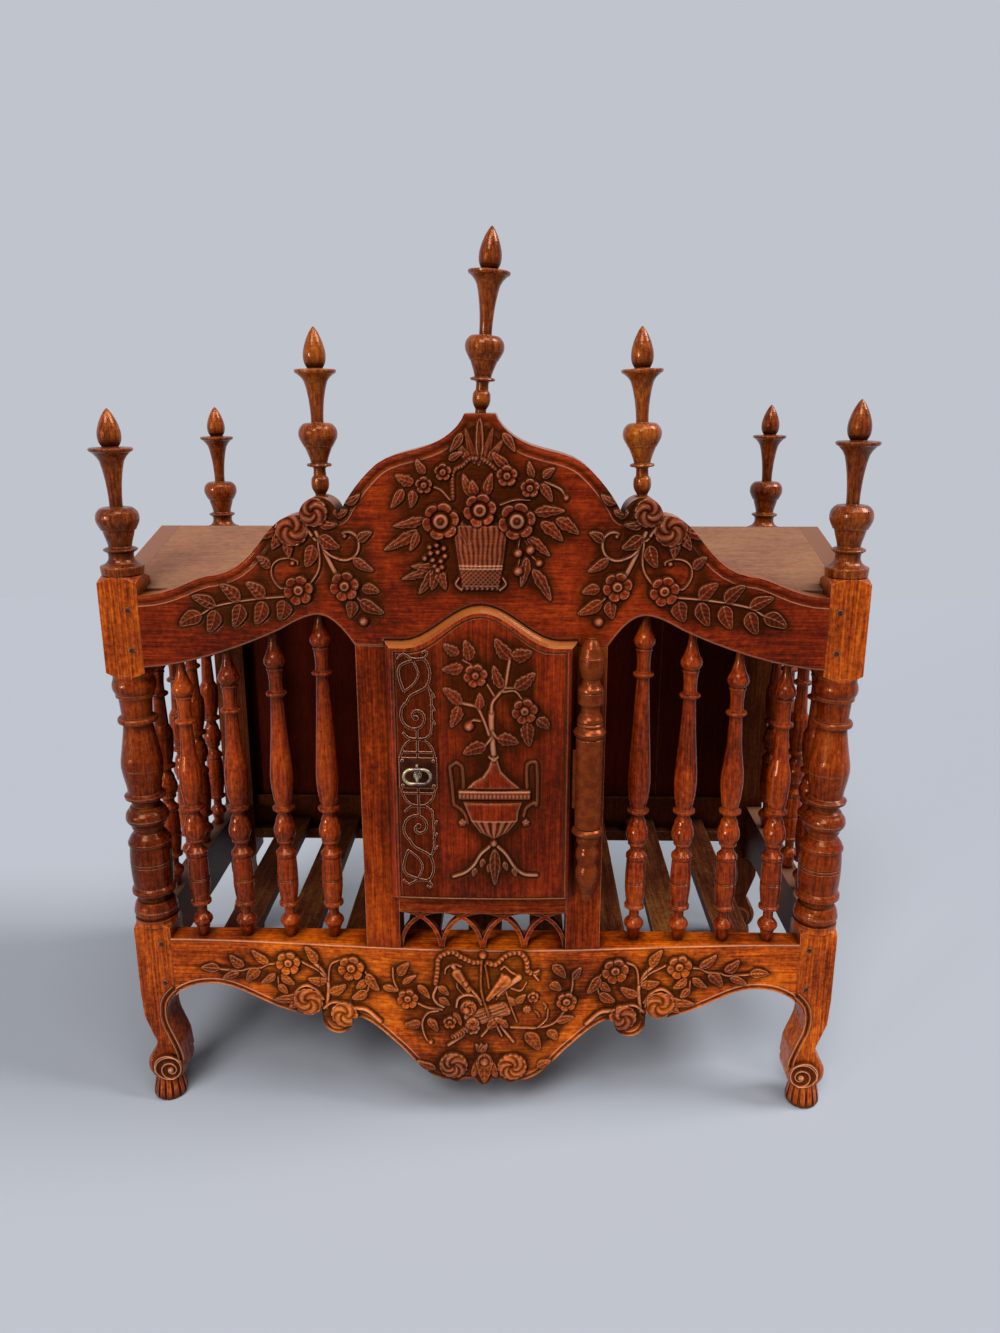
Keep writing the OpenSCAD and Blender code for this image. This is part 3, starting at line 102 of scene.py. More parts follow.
CREST_SPRAY_STEMS = [(1.5, [(-209.1, 655.2), (-237.3, 652.5), (-265.6, 648.6), (-293.1, 642.6),
     (-309.7, 633.3)]),
    (1.3, [(-208.4, 666.3), (-218.6, 663.9), (-226.9, 674.8), (-227.2, 686.9), (-220.1, 694.7),
     (-208.9, 697.1), (-199.1, 694), (-198.2, 690.7)]),
    (2.8, [(-176.5, 725.6), (-170.7, 711.7), (-162.7, 693.4), (-155.7, 679.3)]),
    (1.7, [(-170.8, 709.6), (-160.2, 700), (-146.2, 695.8), (-135.1, 700.3), (-130.3, 710.1),
     (-132.1, 720.8), (-139.5, 726.1), (-147.1, 724.9), (-145.1, 721.7)]),
    (1.5, [(-174.8, 717.1), (-173.6, 695.4), (-176.5, 682.3), (-184.9, 670.1)]),
    (1.7, [(-188.5, 727.6), (-177, 717)]), (1.4, [(-134.7, 655.5), (-129.4, 648.9)])]
CREST_SPRAY_FLOWERS = [(-198.6, 662.1, 16.7, 5.6, 6), (-147.4, 667.4, 16.5, 5.5, 6)]
CREST_SPRAY_BERRIES = [(-127.9, 628.9, 5.5), (-203.7, 691.7, 2.9), (-145.1, 721.7, 2.6)]
CREST_SCROLL_ARC = [(2.2, [(-220.8, 736.9), (-204.1, 741.4), (-189.3, 733), (-181.1, 722.4)])]
CREST_SCROLLS = [(-202.7, 728.5, 18.7), (-178.7, 747, 16.3)]
CREST_SCROLL_LOBES = [(-236.3, 719.5), (-217.9, 730.5), (-221.3, 711), (-206.3, 703.6)]
CREST_SHOULDER_LEAVES = [(-157, 746.1, -140.7, 749.5, 9.7), (-143.6, 756.8, -127.1, 766.4, 8.6),
    (-173.9, 735.3, -152.1, 734.5, 8.7)]

# The basket of flowers in the middle of the crest
CREST_MID_LEAVES = [(24.1, 829.4, 36.6, 810.2, 8.3), (-18.3, 829.4, -31, 810.2, 8.3),
    (-7.4, 763.9, -17.7, 787.7, 9.5), (-4.2, 766, -8.3, 781.5, 9.5), (7.3, 766, 12.7, 788.7, 9.4),
    (-57.5, 787.6, -66.6, 802.9, 8.4), (-69.3, 778.2, -89.2, 786.4, 10.6), (-81.1, 771.9, -94.4, 752, 9.5),
    (-70.5, 771, -73.1, 752.1, 9.5), (-32.1, 802, -17.4, 810.2, 7.3), (-58.5, 740.6, -92.9, 733, 9.6),
    (-66.2, 728.9, -103.3, 707.2, 10.7), (-66.2, 726.8, -75.3, 706.4, 8.5),
    (-20.3, 737.7, -13.1, 713.3, 9.5), (29.3, 794.9, 12.7, 810.2, 9.4), (55.5, 783.6, 51.2, 801, 7.3),
    (65.9, 783.5, 78.3, 793.8, 8.4), (63.9, 777.4, 75.7, 758.6, 9.4), (56.8, 747.2, 89.5, 749.2, 10.6),
    (80.1, 740.8, 104.8, 724.8, 11.6), (64.3, 737.7, 87.9, 717.4, 11.6), (49.6, 721.8, 74.3, 701.4, 9.6),
    (49.8, 700.5, 43.5, 668, 9.6), (56.3, 687.5, 76, 652.5, 10.7)]
CREST_MID_FAN = [(-0.9, 795.9, -0.6, 844.5, 7.3), (-5, 798, -15.1, 834.5, 7.3),
    (3.3, 798, 13.8, 834.5, 7.3), (-10.2, 800, -25.6, 822.4, 7.3), (8.5, 800, 24.1, 822.4, 7.3)]
CREST_MID_FLOWERS = [(-38.6, 789.7, 9.4, 3.6, 5), (-58.8, 776.2, 9.5, 3.4, 5), (28.3, 785.7, 11.5, 4, 5),
    (52.4, 773.2, 10.5, 3.7, 5), (-41.5, 738.6, 20.2, 8.5, 6), (38.9, 738.8, 20.1, 8.5, 6),
    (-0.1, 750.3, 17.9, 7.4, 6)]
CREST_MID_BERRIES = [(90.4, 762.7, 3.2), (40.1, 704.8, 5.3), (52.9, 708, 5.3), (40.2, 685.4, 5.4),
    (62.6, 694, 4.3)]
CREST_MID_GRAPES = [(-53.7, 710.9, 3.5), (-46.2, 713.1, 3.5), (-38.8, 709.9, 3.5), (-52.8, 704.5, 3.5),
    (-45.3, 705.6, 3.5), (-37.8, 701.4, 3.5), (-59.3, 699, 3.5), (-50.8, 697, 3.5), (-42.2, 695.9, 3.5),
    (-48.7, 690.5, 3.5), (-41.2, 689.5, 3.5), (-45.6, 686.2, 3.6)]
CREST_MID_STEMS = [(1.4, [(-48.3, 774.2), (-41, 771.1), (-31.6, 760.7)]),
    (1.4, [(68.1, 779.4), (83.9, 772.1), (90.4, 762.7)]), (1.2, [(42.2, 721.8), (40.1, 708)]),
    (1.2, [(47.5, 718.6), (52.9, 710.1)]), (1.2, [(54, 702.6), (61.5, 695)]),
    (1.2, [(42.3, 699.4), (40.2, 690.8)]), (1.3, [(21, 755.6), (36.8, 760.8), (52.5, 760.8)])]
CREST_ROPE = [(3, [(-28.5, 761.8), (-28.1, 788.7), (-18.6, 795.9), (-10.2, 803.1), (-1.9, 803.1)]),
    (3, [(2.3, 803.1), (10.6, 798), (17.9, 791.8)])]
CREST_VINE = [(-45.5, 688.4, -84.7, 676, 9.7), (-45.5, 688.4, -74.6, 690.3, 8.6),
    (-45.5, 688.4, -66.7, 659.8, 10.8), (-45.5, 688.4, -52.5, 664.3, 10.8),
    (-45.5, 688.4, -37.3, 664.5, 9.7)]
CREST_BASKET = [(-23.4, 690.7), (24.8, 690.8), (20.9, 665.8), (-20, 665.7), (-0.2, 735.6), (-29.9, 735.5),
    (30.5, 735.6)]
CREST_BASKET_FOOT = [(1.6, [(24.2, 677.8), (27.4, 671.3), (20.9, 664.7)]),
    (1.6, [(-23.1, 677.7), (-26.4, 671.1), (-20, 664.6)])]

# The apron's garland, drawn for the left side and mirrored for the right
APRON_SPRAY_LEAVES = [(-323.1, 190, -346.2, 190, 10.6), (-293, 193.3, -309.3, 208.5, 11.3),
    (-299.1, 185.4, -320.5, 175.5, 8.8), (-261.7, 199.8, -281.4, 216.4, 10),
    (-273.8, 191.5, -290.1, 172.6, 12.5), (-253.5, 185.6, -271.9, 172.1, 8.8),
    (-246.4, 185.5, -230.6, 172.1, 10), (-250.7, 170.9, -240.2, 157.9, 8.8),
    (-201.8, 203.2, -215.3, 224.8, 11.2), (-190.4, 178.8, -213.9, 181, 11.2),
    (-187.4, 163.3, -166.3, 175.7, 11.2), (-142.6, 183.3, -154.3, 171.7, 9.8),
    (-140.5, 191.8, -125.9, 169.3, 11), (-141.3, 168.4, -160.3, 157.1, 11.1)]
APRON_SPRAY_STEMS = [(1.3, [(-323.2, 189.3), (-298.3, 188), (-285.6, 191.4), (-271.8, 192.9),
     (-262.7, 198.1), (-253.4, 199.7)]), (1.2, [(-250.7, 181.6), (-250.8, 169.1)]),
    (2.4, [(-192.1, 142), (-188.3, 170.2), (-190.8, 183), (-196.2, 194.5), (-207.6, 206.2)]),
    (1.4, [(-190.3, 181.1), (-199.6, 192.9), (-212.9, 200.4), (-220.1, 204.1)]),
    (1.4, [(-187.9, 179.9), (-186.4, 195.1), (-182.3, 204.4), (-173, 209.1)]),
    (1.3, [(-142.2, 194.3), (-138.2, 186.2), (-139.2, 172.7), (-141.4, 166.2)])]
APRON_SPRAY_FLOWERS = [(-236.6, 202, 15.6, 5, 6), (-159.2, 199.5, 16.6, 5.5, 6)]
APRON_SCROLLS = [(-214.3, 150.4, 18.8), (-170, 135, 17.5)]
APRON_SCROLL_ARC = [(2, [(-235.6, 149.7), (-227.2, 164.9), (-215.6, 172.6), (-203.4, 166.4),
     (-195.3, 154.4)]), (1.8, [(-195.9, 141.7), (-184.7, 150.9), (-174.3, 151)]),
    (2.6, [(-167.2, 142.2), (-153.4, 144.5), (-141, 142.5), (-125.4, 128)])]
APRON_SCROLL_LOBES = [(-252, 149.4), (-236.1, 140.5), (-213.7, 137.8)]

# The trophy in the middle of the apron, and the scrolls at its foot
APRON_RIBBONS = [(2.6, [(-57.1, 182.7), (-54.3, 201.9), (-53.1, 215.5), (-46.3, 222.8), (-35.5, 226.1),
     (-25.4, 219.5), (-11.7, 213), (-4.7, 213.1)]),
    (2.6, [(5.7, 212.1), (15.8, 210.3), (26.4, 220.9), (36.7, 225.8), (46.9, 223.9), (52.9, 213.2),
     (54.2, 200.5), (66.2, 196.3)])]
APRON_RIBBON_TAILS = [(1.6, [(61.4, 199.1), (67, 201.7)]), (1.6, [(61.4, 196.3), (67.1, 188.5)])]
APRON_STAFFS = [(1.7, [(-1.3, 215.3), (-2.3, 185.4), (-0.6, 167.6), (7.2, 140)]),
    (1.5, [(3, 209.3), (5.6, 193.7), (7.3, 177.9)])]
APRON_HORNS = [(3, [(-35.7, 207.9), (-25.7, 191.1), (-19.2, 181.4), (-8.4, 169.7), (-1.6, 159.9)]),
    (2.4, [(23.7, 195.7), (17, 180.1), (12.1, 169.9), (13.3, 164)]),
    (4.2, [(43.4, 192.7), (26.4, 178), (17.7, 168)])]
APRON_LINES = [(1.3, [(-45.5, 196.7), (-43.7, 204.4), (-34.5, 209.5), (-25.5, 206.8)]),
    (1.2, [(-31.2, 183.5), (-30.1, 177.2), (-24.1, 169.4)]),
    (1.3, [(21.8, 203.6), (26.4, 207.4), (33.3, 200.6), (43.4, 193.8)]),
    (1.2, [(27.2, 176), (33.4, 154), (41.3, 131)]), (1.2, [(33.4, 178), (45.6, 174.9), (52.5, 185.8)]),
    (2, [(-32.2, 151.8), (-29.4, 163.3), (-19.3, 168.7), (-8.4, 166.1), (-1.6, 155.9)]),
    (1.8, [(-1.8, 111.8), (8.9, 126), (14.1, 135)]), (0.9, [(-15.9, 135.4), (26.4, 152.6)]),
    (0.9, [(-17.1, 139.6), (24.2, 156.8)]), (0.9, [(-14.8, 131.3), (27.9, 148.4)]),
    (0.9, [(-13.6, 127.1), (29.1, 144.3)]), (0.9, [(15.8, 162.2), (26.4, 171.9)]),
    (2.2, [(-23, 113.1), (-42.6, 98.1)]), (1.9, [(21.2, 126.1), (37.1, 103.6)]),
    (1.6, [(14.1, 131.9), (23, 112)]), (1.4, [(-108.4, 201.8), (-107.9, 186), (-102.2, 169.7)]),
    (1.4, [(-80.6, 155.6), (-66.5, 149.2), (-49, 147.1)]),
    (2, [(-55.5, 178.6), (-60.1, 166.1), (-55.9, 156.6), (-47.4, 151.3)]),
    (1.5, [(-54.2, 145.5), (-66.7, 142.2), (-74, 129.3), (-72.6, 113.9), (-67.5, 101.4)]),
    (1.4, [(107.9, 194.6), (108, 181.8), (106.4, 170.8)]),
    (1.4, [(100, 147.5), (86.4, 129.7), (66.9, 123), (51.1, 123.2), (33.5, 124)]),
    (1.3, [(78.8, 148), (77.3, 135.5), (66.9, 123.7)]),
    (1.2, [(72.7, 156.8), (76.3, 153.6), (75.2, 148.7)]),
    (1.2, [(63.1, 145.9), (66.7, 142.6), (68.5, 137.8)])]
APRON_MID_LEAVES = [(-96.8, 181, -79.7, 193.3, 7.3), (-101.6, 192.3, -88.8, 209.5, 11),
    (-121.4, 175.6, -103.2, 170.4, 8.6), (-78.6, 179.5, -64.3, 162.2, 8.5),
    (-53.7, 178.7, -41.1, 166.7, 8.5), (-53.3, 162.6, -40.1, 152.9, 8.5), (-76, 127.8, -96.3, 124.4, 11.1),
    (-66.8, 133.8, -55.7, 116, 9.8), (-35.4, 143.3, -26.4, 125.4, 7.3), (84.1, 208.9, 99.3, 190.9, 10.8),
    (80.8, 183.8, 94.2, 173.9, 10.9), (109.7, 188.6, 117.8, 205.1, 8.5), (89.6, 131, 110.7, 136.9, 9.8),
    (79.2, 119.4, 90, 104.9, 11), (52.9, 116.2, 68.9, 91, 14.7), (-58.8, 63.1, -82.2, 73.5, 9.9),
    (66.2, 67.6, 83.4, 75.9, 9.9), (41.2, 155.3, 30.3, 166.4, 8.5), (41.2, 156.7, 52, 169.1, 8.5)]
APRON_MID_FLOWERS = [(-91.2, 161, 13.5, 4.3, 6), (101.1, 159.1, 12.8, 4.9, 6), (60.5, 166.2, 7.3, 2.4, 5),
    (-40.4, 130.6, 8.6, 2.9, 5)]
APRON_MID_BERRIES = [(0.3, 222.9, 4.8), (-20.4, 183.7, 3.6), (-64.2, 101.5, 3.2), (-20, 147.9, 4.9)]
APRON_MID_SPIRALS = [(-13.1, 123.6, 9.8), (-20, 147.9, 7.3), (53.3, 149, 5.5)]
APRON_FOOT_SCROLLS = [(-36.8, 69.7, 18), (35.3, 68.6, 18.5)]
APRON_FOOT_BUD = [(1.5, 74.9), (-15.4, 53), (15.6, 53.4), (-2.1, 99.1), (-2.2, 89.1)]

# The door's flowering branch and its vase
DOOR_LEAVES = [(-23.4, 596.2, -40.2, 607.2, 9.8), (-11.5, 589.5, -17.1, 611.9, 10.9),
    (-18.8, 581.6, -42.2, 578.5, 10.9), (-21.4, 539.4, -41.8, 557.5, 11), (-24.1, 537, -33.2, 512.5, 11),
    (-2.4, 533.2, -1.4, 552.5, 8.8), (32.7, 590.8, 15.7, 613.6, 11.9), (34.1, 594.2, 56.2, 598.6, 13),
    (23.3, 558, 14, 583.6, 9.8), (37.5, 557.1, 59.2, 575.3, 12), (61.7, 522.2, 75.9, 510.6, 11),
    (52, 518.7, 53.9, 490.1, 12.2), (18.3, 499.6, 42.1, 494.2, 12.2), (5.5, 491.1, -20.2, 481.4, 12.2)]
DOOR_FLOWERS = [(-5.6, 572.1, 13.6, 4, 6), (48.3, 531.5, 14.9, 4.6, 6)]
DOOR_BERRIES = [(-13.3, 513.9, 5.8)]
DOOR_STEMS = [(3.6, [(14.3, 477.6), (12.7, 495.4), (11.4, 515.3), (11.7, 530.4)]),
    (2, [(11.7, 530.4), (12.1, 538.4), (14.5, 544.2), (21.1, 552.2), (26.5, 559.1), (29.8, 578.4),
     (32, 591.9)]), (1.5, [(-0.3, 519.9), (-7.7, 521), (-12.1, 518.6)]),
    (1.4, [(14.5, 549.4), (7.4, 561.7)]),
    (1.8, [(-21.4, 540.5), (-7.5, 537.2), (-2.4, 533.2), (1.2, 525.7), (5.6, 514.6), (8.8, 503.6)]),
    (1.3, [(27.1, 558), (37.5, 557.9)]), (1.3, [(24.4, 553.4), (37.5, 554.5), (45.2, 545.3)]),
    (1.3, [(-19.1, 589.5), (-11.5, 585), (-7.2, 580.5)]), (1.6, [(5.5, 491.8), (11.1, 500.1)]),
    (1.6, [(17.7, 500.1), (13.3, 507.1)])]
VASE_LEFT = [(12.1, 477.6), (10.4, 474.1), (7.6, 464.5), (0.8, 454.1), (-9.7, 447.6), (-17.3, 439.3)]
VASE_RIGHT = [(16, 477.7), (18.8, 474.8), (22.7, 461), (33.4, 449.5), (45.4, 439.3)]
VASE_RIM = [(-26.3, 438.1), (55.9, 438.4), (-26.5, 425), (56, 425.3)]
VASE_BOWL_LEFT = [(-20.8, 423.6), (-16, 411.1), (-12.2, 400.7), (-1.8, 386.6), (14.5, 378.3)]
VASE_BOWL_RIGHT = [(46.6, 423.9), (42.3, 412.6), (41.3, 401), (30.1, 386.8), (14.5, 378.3)]
VASE_KNOP = [(13.9, 373.6, 4.6)]
VASE_LEGS = [(2.2, [(9.5, 369.3), (-0.8, 359.6), (-9.3, 345.3), (-19.5, 336.3), (-32.8, 331)]),
    (2.2, [(18.3, 369.4), (27.8, 359.8), (38.2, 343), (49.3, 334.4), (63.6, 333)])]
VASE_LOBES = [(-10.2, 333.9), (-0.9, 345.4), (7.1, 339.2), (20.9, 339.2), (29, 341.8), (39.4, 334.1)]
VASE_LEAF = [(15.2, 365.6), (15.1, 320.1)]
VASE_HANDLES = [(1.9, [(-20, 440.3), (-20.9, 463.1), (-23.7, 468.2), (-28.2, 470.4), (-33.3, 466.9),
     (-35, 464.1), (-33, 445.5), (-31.1, 422.3), (-28.8, 418.8), (-22.1, 413.5), (-17.6, 406.2),
     (-16.1, 397.6)]),
    (1.9, [(51.4, 440.5), (51.2, 465.7), (53.9, 470.5), (57.9, 471.6), (62.4, 466.8), (62.8, 422.6),
     (59.4, 422.6), (51, 416.8), (47.9, 406.5)])]
VASE_HANDLE_ENDS = [(-21.6, 398.3, 4.6), (50.5, 398.6, 4.5)]


def face_y(x):
    """The bow of the front: a raised cosine over the span between the posts, as y of the boards' face."""
    return FRONT_Y - BOW * (1 + np.cos(np.pi * np.minimum(1, np.abs(x) / SPAN))) / 2


def bezier(a, b, c, d, n=8):
    """Points of a cubic curve from a to d drawn by the handles b and c, its last point left out."""
    t = (np.arange(n) / n)[:, None]
    u = 1 - t
    a, b, c, d = (np.asarray(p, float) for p in (a, b, c, d))
    return u ** 3 * a + 3 * u * u * t * b + 3 * u * t * t * c + t ** 3 * d


def smooth_line(points, n=6):
    """A smooth curve through all the points: each stretch is a cubic that leans along its neighbours."""
    p = np.asarray(points, float)
    if len(p) < 3:
        return p
    e = np.vstack([2 * p[0] - p[1], p, 2 * p[-1] - p[-2]])
    t = (np.arange(n) / n)[None, :, None]
    a, b, c, d = (e[k:len(e) - 3 + k][:, None, :] for k in range(4))
    s = 0.5 * (2 * b + (c - a) * t + (2 * a - 5 * b + 4 * c - d) * t ** 2 + (3 * b - a - 3 * c + d) * t ** 3)
    return np.vstack([s.reshape(-1, p.shape[1]), p[-1]])


def step(x):
    """0 below 0 and 1 above 1, with a smooth rise between."""
    x = np.clip(x, 0, 1)
    return x * x * (3 - 2 * x)


def bell(x, width):
    """1 at x = 0, falling off to both sides as the exponential of minus the square of x over width."""
    return np.exp(-np.square(x / width))


# Outlines of the boards
def crest_point(f, h):
    """A point h above the crest's ends, f of the way from the side scroll to the post."""
    return LOBE_X + f * (SPAN - LOBE_X), CREST_END_Z + h


def hood_point(f, drop):
    """A point drop below the crest's peak, f of the way from the middle to the side scroll."""
    return f * LOBE_X, CREST_PEAK - drop


def arch_point(f, h):
    """A point h of the arch's rise above the crest's corner, f of the way from the stile to the post."""
    return STILE_OUT + f * (SPAN - STILE_OUT), CAGE_TOP + h * ARCH_RISE


def end_point(f, drop):
    """A point drop below the apron's foot at its ends, f of the way from the middle to the post."""
    return f * SPAN, FLOOR_H - APRON_END - drop


def middle_point(f, rise):
    """A point rise above the apron's lowest place, f of the way from the middle to the post."""
    return f * SPAN, APRON_FOOT + rise


CREST_TOP = np.vstack([
    [[0, CREST_PEAK]],
    bezier((PEAK_HALF, CREST_PEAK), (PEAK_HALF + 4, CREST_PEAK - 12),
           hood_point(0.2, 25), hood_point(0.31, 32)),
    bezier(hood_point(0.31, 32), hood_point(0.46, 41), hood_point(0.58, 40), hood_point(0.68, 59)),
    bezier(hood_point(0.68, 59), hood_point(0.775, 75), hood_point(0.84, 92), hood_point(0.88, LOBE_DROP)),
    [hood_point(0.93, 112)],
    bezier(crest_point(0.08, 90), crest_point(0.12, 92), crest_point(0.19, 90), crest_point(0.236, 80)),
    bezier(crest_point(0.236, 80), crest_point(0.33, 63), crest_point(0.39, 31), crest_point(0.57, 24)),
    bezier(crest_point(0.57, 24), crest_point(0.7, 23), crest_point(0.79, 1), crest_point(1, 0)),
    [crest_point(1, 0)],
])
CREST_ARCH = np.vstack([
    bezier(arch_point(1, 0), arch_point(0.79, 0.03), arch_point(0.51, 0.42), arch_point(0.34, 0.73)),
    bezier(arch_point(0.34, 0.73), arch_point(0.27, 0.89), arch_point(0.21, 1), arch_point(0.165, 1)),
    bezier(arch_point(0.165, 1), arch_point(0.105, 1), arch_point(0.05, 0.76), (STILE_OUT, STILE_TOP)),
    [(STILE_OUT, STILE_TOP)],
])[::-1]
APRON_LOW = np.vstack([
    bezier(end_point(1, 0), end_point(0.96, -16), end_point(0.89, -21), end_point(0.835, -17)),
    bezier(end_point(0.835, -17), end_point(0.766, -12), end_point(0.69, 12), end_point(0.593, 18)),
    bezier(end_point(0.593, 18), end_point(0.562, 20), end_point(0.535, 16), end_point(0.51, 8)),
    [end_point(0.5, 7), end_point(0.43, 7)],
    bezier(end_point(0.42, 18), end_point(0.367, 16), middle_point(0.32, 70), middle_point(0.262, 49)),
    bezier(middle_point(0.262, 49), middle_point(0.22, 32), middle_point(0.184, 8), middle_point(0.11, 5)),
    [middle_point(f, rise) for f, rise in ((0.1, 6), (0.055, 8), (0.02, 8), (0, 8))],
])[::-1]


def round_edge(x, cx, cz, r, side, other):
    """The further of a line and a circle's arc, upwards or downwards, at x."""
    s = r * r - np.square(np.abs(x) - cx)
    arc = cz + side * np.sqrt(np.maximum(s, 0))
    return np.where(s > 0, side * np.maximum(side * arc, side * other), other)


def crest_high(x):
    """The crest's upper edge: its curve, and the round side scrolls where they stand above it."""
    z = np.interp(np.abs(x), CREST_TOP[:, 0], CREST_TOP[:, 1])
    return round_edge(x, LOBE_X, CREST_PEAK - LOBE_DROP, LOBE_R, 1, z)


def door_arch(x):
    """The door's head: its shoulder's height, and between the shoulders a raised cosine."""
    a = np.abs(x)
    return DOOR_SHOULDER + np.where(a < DOOR_FLAT, DOOR_RISE * (1 + np.cos(np.pi * a / DOOR_FLAT)) / 2, 0)


def crest_low(x):
    """The crest's lower edge: round the door's head, level over the stiles, and an arch on each side."""
    a = np.abs(x)
    arch = np.interp(a, CREST_ARCH[:, 0], CREST_ARCH[:, 1])
    return np.where(a < DOOR_HALF + 1, door_arch(x) + 1, np.where(a < STILE_OUT, STILE_TOP + 0.2, arch))


def apron_low(x):
    """The apron's lower edge: its curve, and the round ends of the five scrolls that hang below it."""
    z = np.interp(np.abs(x), APRON_LOW[:, 0], APRON_LOW[:, 1])
    scrolls = [(end_point(0.47, 24), 19), (middle_point(0.088, 14), 10.5), (middle_point(0, 10), 10)]
    for (cx, cz), r in scrolls:
        z = round_edge(x, cx, cz, r, -1, z)
    return z


def edge_distance(x, z, line, reach=16, pitch=0.7):
    """Distance on the face to an edge z = line(x): the least over the edge's points within reach."""
    best = np.full(x.shape, float(reach))
    for s in np.arange(-reach, reach + pitch, pitch):
        best = np.minimum(best, np.hypot(s, line(x + s) - z))
    return best


def blur(h, n):
    """Each value becomes the mean of its neighbours within n cells, along one way, the other, and again."""
    for axis in (0, 1, 0, 1):
        k = 2 * n + 1
        pad = [(0, 0), (0, 0)]
        pad[axis] = (n + 1, n)
        c = np.cumsum(np.pad(h, pad, mode="edge"), axis=axis)
        h = (np.take(c, range(k, c.shape[axis]), axis) - np.take(c, range(0, c.shape[axis] - k), axis)) / k
    return h


class Carving:
    """Heights in mm over a board's face, on columns of even spacing in x and rows between two edges."""

    def __init__(self, x0, x1, low, high, cols, rows):
        self.xs = np.linspace(x0, x1, cols)
        self.x = np.repeat(self.xs[:, None], rows, 1)
        lo, hi = low(self.x), high(self.x)
        self.z = lo + (hi - lo) * np.linspace(0, 1, rows)[None, :]
        self.h, self.dark, self.pale, self.form = (np.zeros_like(self.x) for _ in range(4))
        self.floor = -0.5

    def near(self, low, high):
        """The columns between two places and one more on each side, or none where they lie off the board."""
        on_board = high > self.xs[0] and low < self.xs[-1]
        first, last = np.searchsorted(self.xs, (low, high))
        return slice(max(0, first - 1), last + 1) if on_board else slice(0, 0)

    def around(self, x, z, r):
        """The columns within reach of a round form, and there the places seen from its centre."""
        i = self.near(x - r - 2, x + r + 2)
        return i, self.x[i] - x, self.z[i] - z

    def lay(self, i, h, d, soft=0.9, dip=1.3, pale=0.0, shade=0.0):
        """Puts a form of height h where its edge distance d is negative, over what is there.
        Its side rises within soft mm, and the wood round it is cut down by dip, less with distance.
        pale is the painted highlight on the form, and shade the painted shade in it. Painted shade also fills
        the cut round the form."""
        halo = bell(np.maximum(d, 0), 1.7)
        ground = np.maximum(self.h[i] - dip * halo, self.floor)
        inside = step(-d / soft)
        self.h[i] = ground + (np.maximum(h, ground + 0.5) - ground) * inside
        self.dark[i] = np.maximum(self.dark[i], halo) * (1 - inside) + np.clip(shade, 0, 1) * inside
        self.pale[i] = self.pale[i] * (1 - inside) + np.clip(pale, 0, 1) * inside
        self.form[i] = np.maximum(self.form[i], inside)

    def leaf(self, bx, bz, tx, tz, w, height=3.4, bend=0.14, teeth=0, veins=5):
        """t runs from 0 to 1 along its bent axis, and v across. Half the width is a sine of t, notched like a
        saw. A thin rim and a midrib stand above a hollow that slanting veins cross."""
        length = math.hypot(tx - bx, tz - bz)
        ux, uz = (tx - bx) / length, (tz - bz) / length
        i = self.near(min(bx, tx) - w, max(bx, tx) + w)
        px, pz = self.x[i] - bx, self.z[i] - bz
        t = (px * ux + pz * uz) / length
        c = np.clip(t, 0, 1)
        v = px * -uz + pz * ux - bend * w * 4 * c * (1 - c)
        half = 0.56 * w * np.sin(np.pi * c ** 0.85) ** 0.54 * (1 + 0.12 * np.sin(2 * np.pi * c))
        if teeth:
            half = half * (1 - 0.2 * np.mod(teeth * c + 0.1, 1)) * 1.1
        d = np.where((t > 0) & (t < 1), np.abs(v) - half, np.hypot(v, length * np.maximum(-t, t - 1)))
        s = np.clip(np.abs(v) / np.maximum(half, 0.4), 0, 1)
        rim = bell(half - np.abs(v) - 0.7, 0.43)
        rib = bell(v, 0.55) * (1 - 0.4 * c)
        vein = np.cos(2 * np.pi * (veins * c - 0.9 * s))
        body = height * (0.42 + 0.3 * np.sin(np.pi * c) - 0.12 * s)
        h = body + height * (0.36 * rim + 0.3 * rib + 0.09 * vein * (1 - rim))
        # The rim and the midrib get a painted highlight, and the hollow between them painted shade.
        self.lay(i, h, d, pale=rim + 0.3 * rib, shade=(1 - rim) * (1 - 0.7 * rib) * (0.66 - 0.14 * vein))

    def flower(self, x, z, r, button, petals=6, height=4.6, turn=0.3):
        """Petals with round ends, hollow and rimmed, parted by grooves, round a ringed button with a pit."""
        i, px, pz = self.around(x, z, r)
        rho, phi = np.hypot(px, pz), np.arctan2(pz, px) + turn
        a = np.mod(phi * petals / (2 * np.pi), 1) - 0.5
        edge = r * (0.74 + 0.26 * np.sqrt(np.abs(np.cos(np.pi * a))))
        d = rho - edge
        u = rho / edge
        parting = bell((0.5 - np.abs(a)) * 2 * np.pi / petals * rho, 0.8)
        rim = bell(edge - rho - 1.1, 0.9)
        h = height * (0.5 + 0.42 * step((u - 0.35) / 0.5) + 0.24 * rim - 0.5 * parting * step(u * 2))
        h = h - 0.1 * height * bell(a, 0.1) * step((u - 0.4) * 3)
        q = rho / button
        h = np.where(q < 1.35, height * 0.28, h)
        h = np.where(q < 1, height * (0.5 + 0.55 * np.sqrt(np.maximum(0, 1 - q * q))), h)
        h = h - 0.22 * height * bell(q - 0.35, 0.14) * (button > 3)
        ring = bell(q - 0.72, 0.2)
        rim = bell(edge - rho - 0.8, 0.55)
        # A painted highlight on the button's ring and the petals' rims, and painted shade in the partings,
        # the pit round the button and the button's middle.
        pale = np.where(q < 1, 0.5 * ring, 0.75 * rim * (1 - parting))
        pit = 1 - step((rho - 1.1 * button) / (0.6 * (r - button)))
        petal = np.maximum(np.maximum(parting, pit), 0.34) * (1 - 0.8 * rim)
        self.lay(i, h, d, pale=pale, shade=np.where(q < 1, 0.95 * (1 - ring), petal))

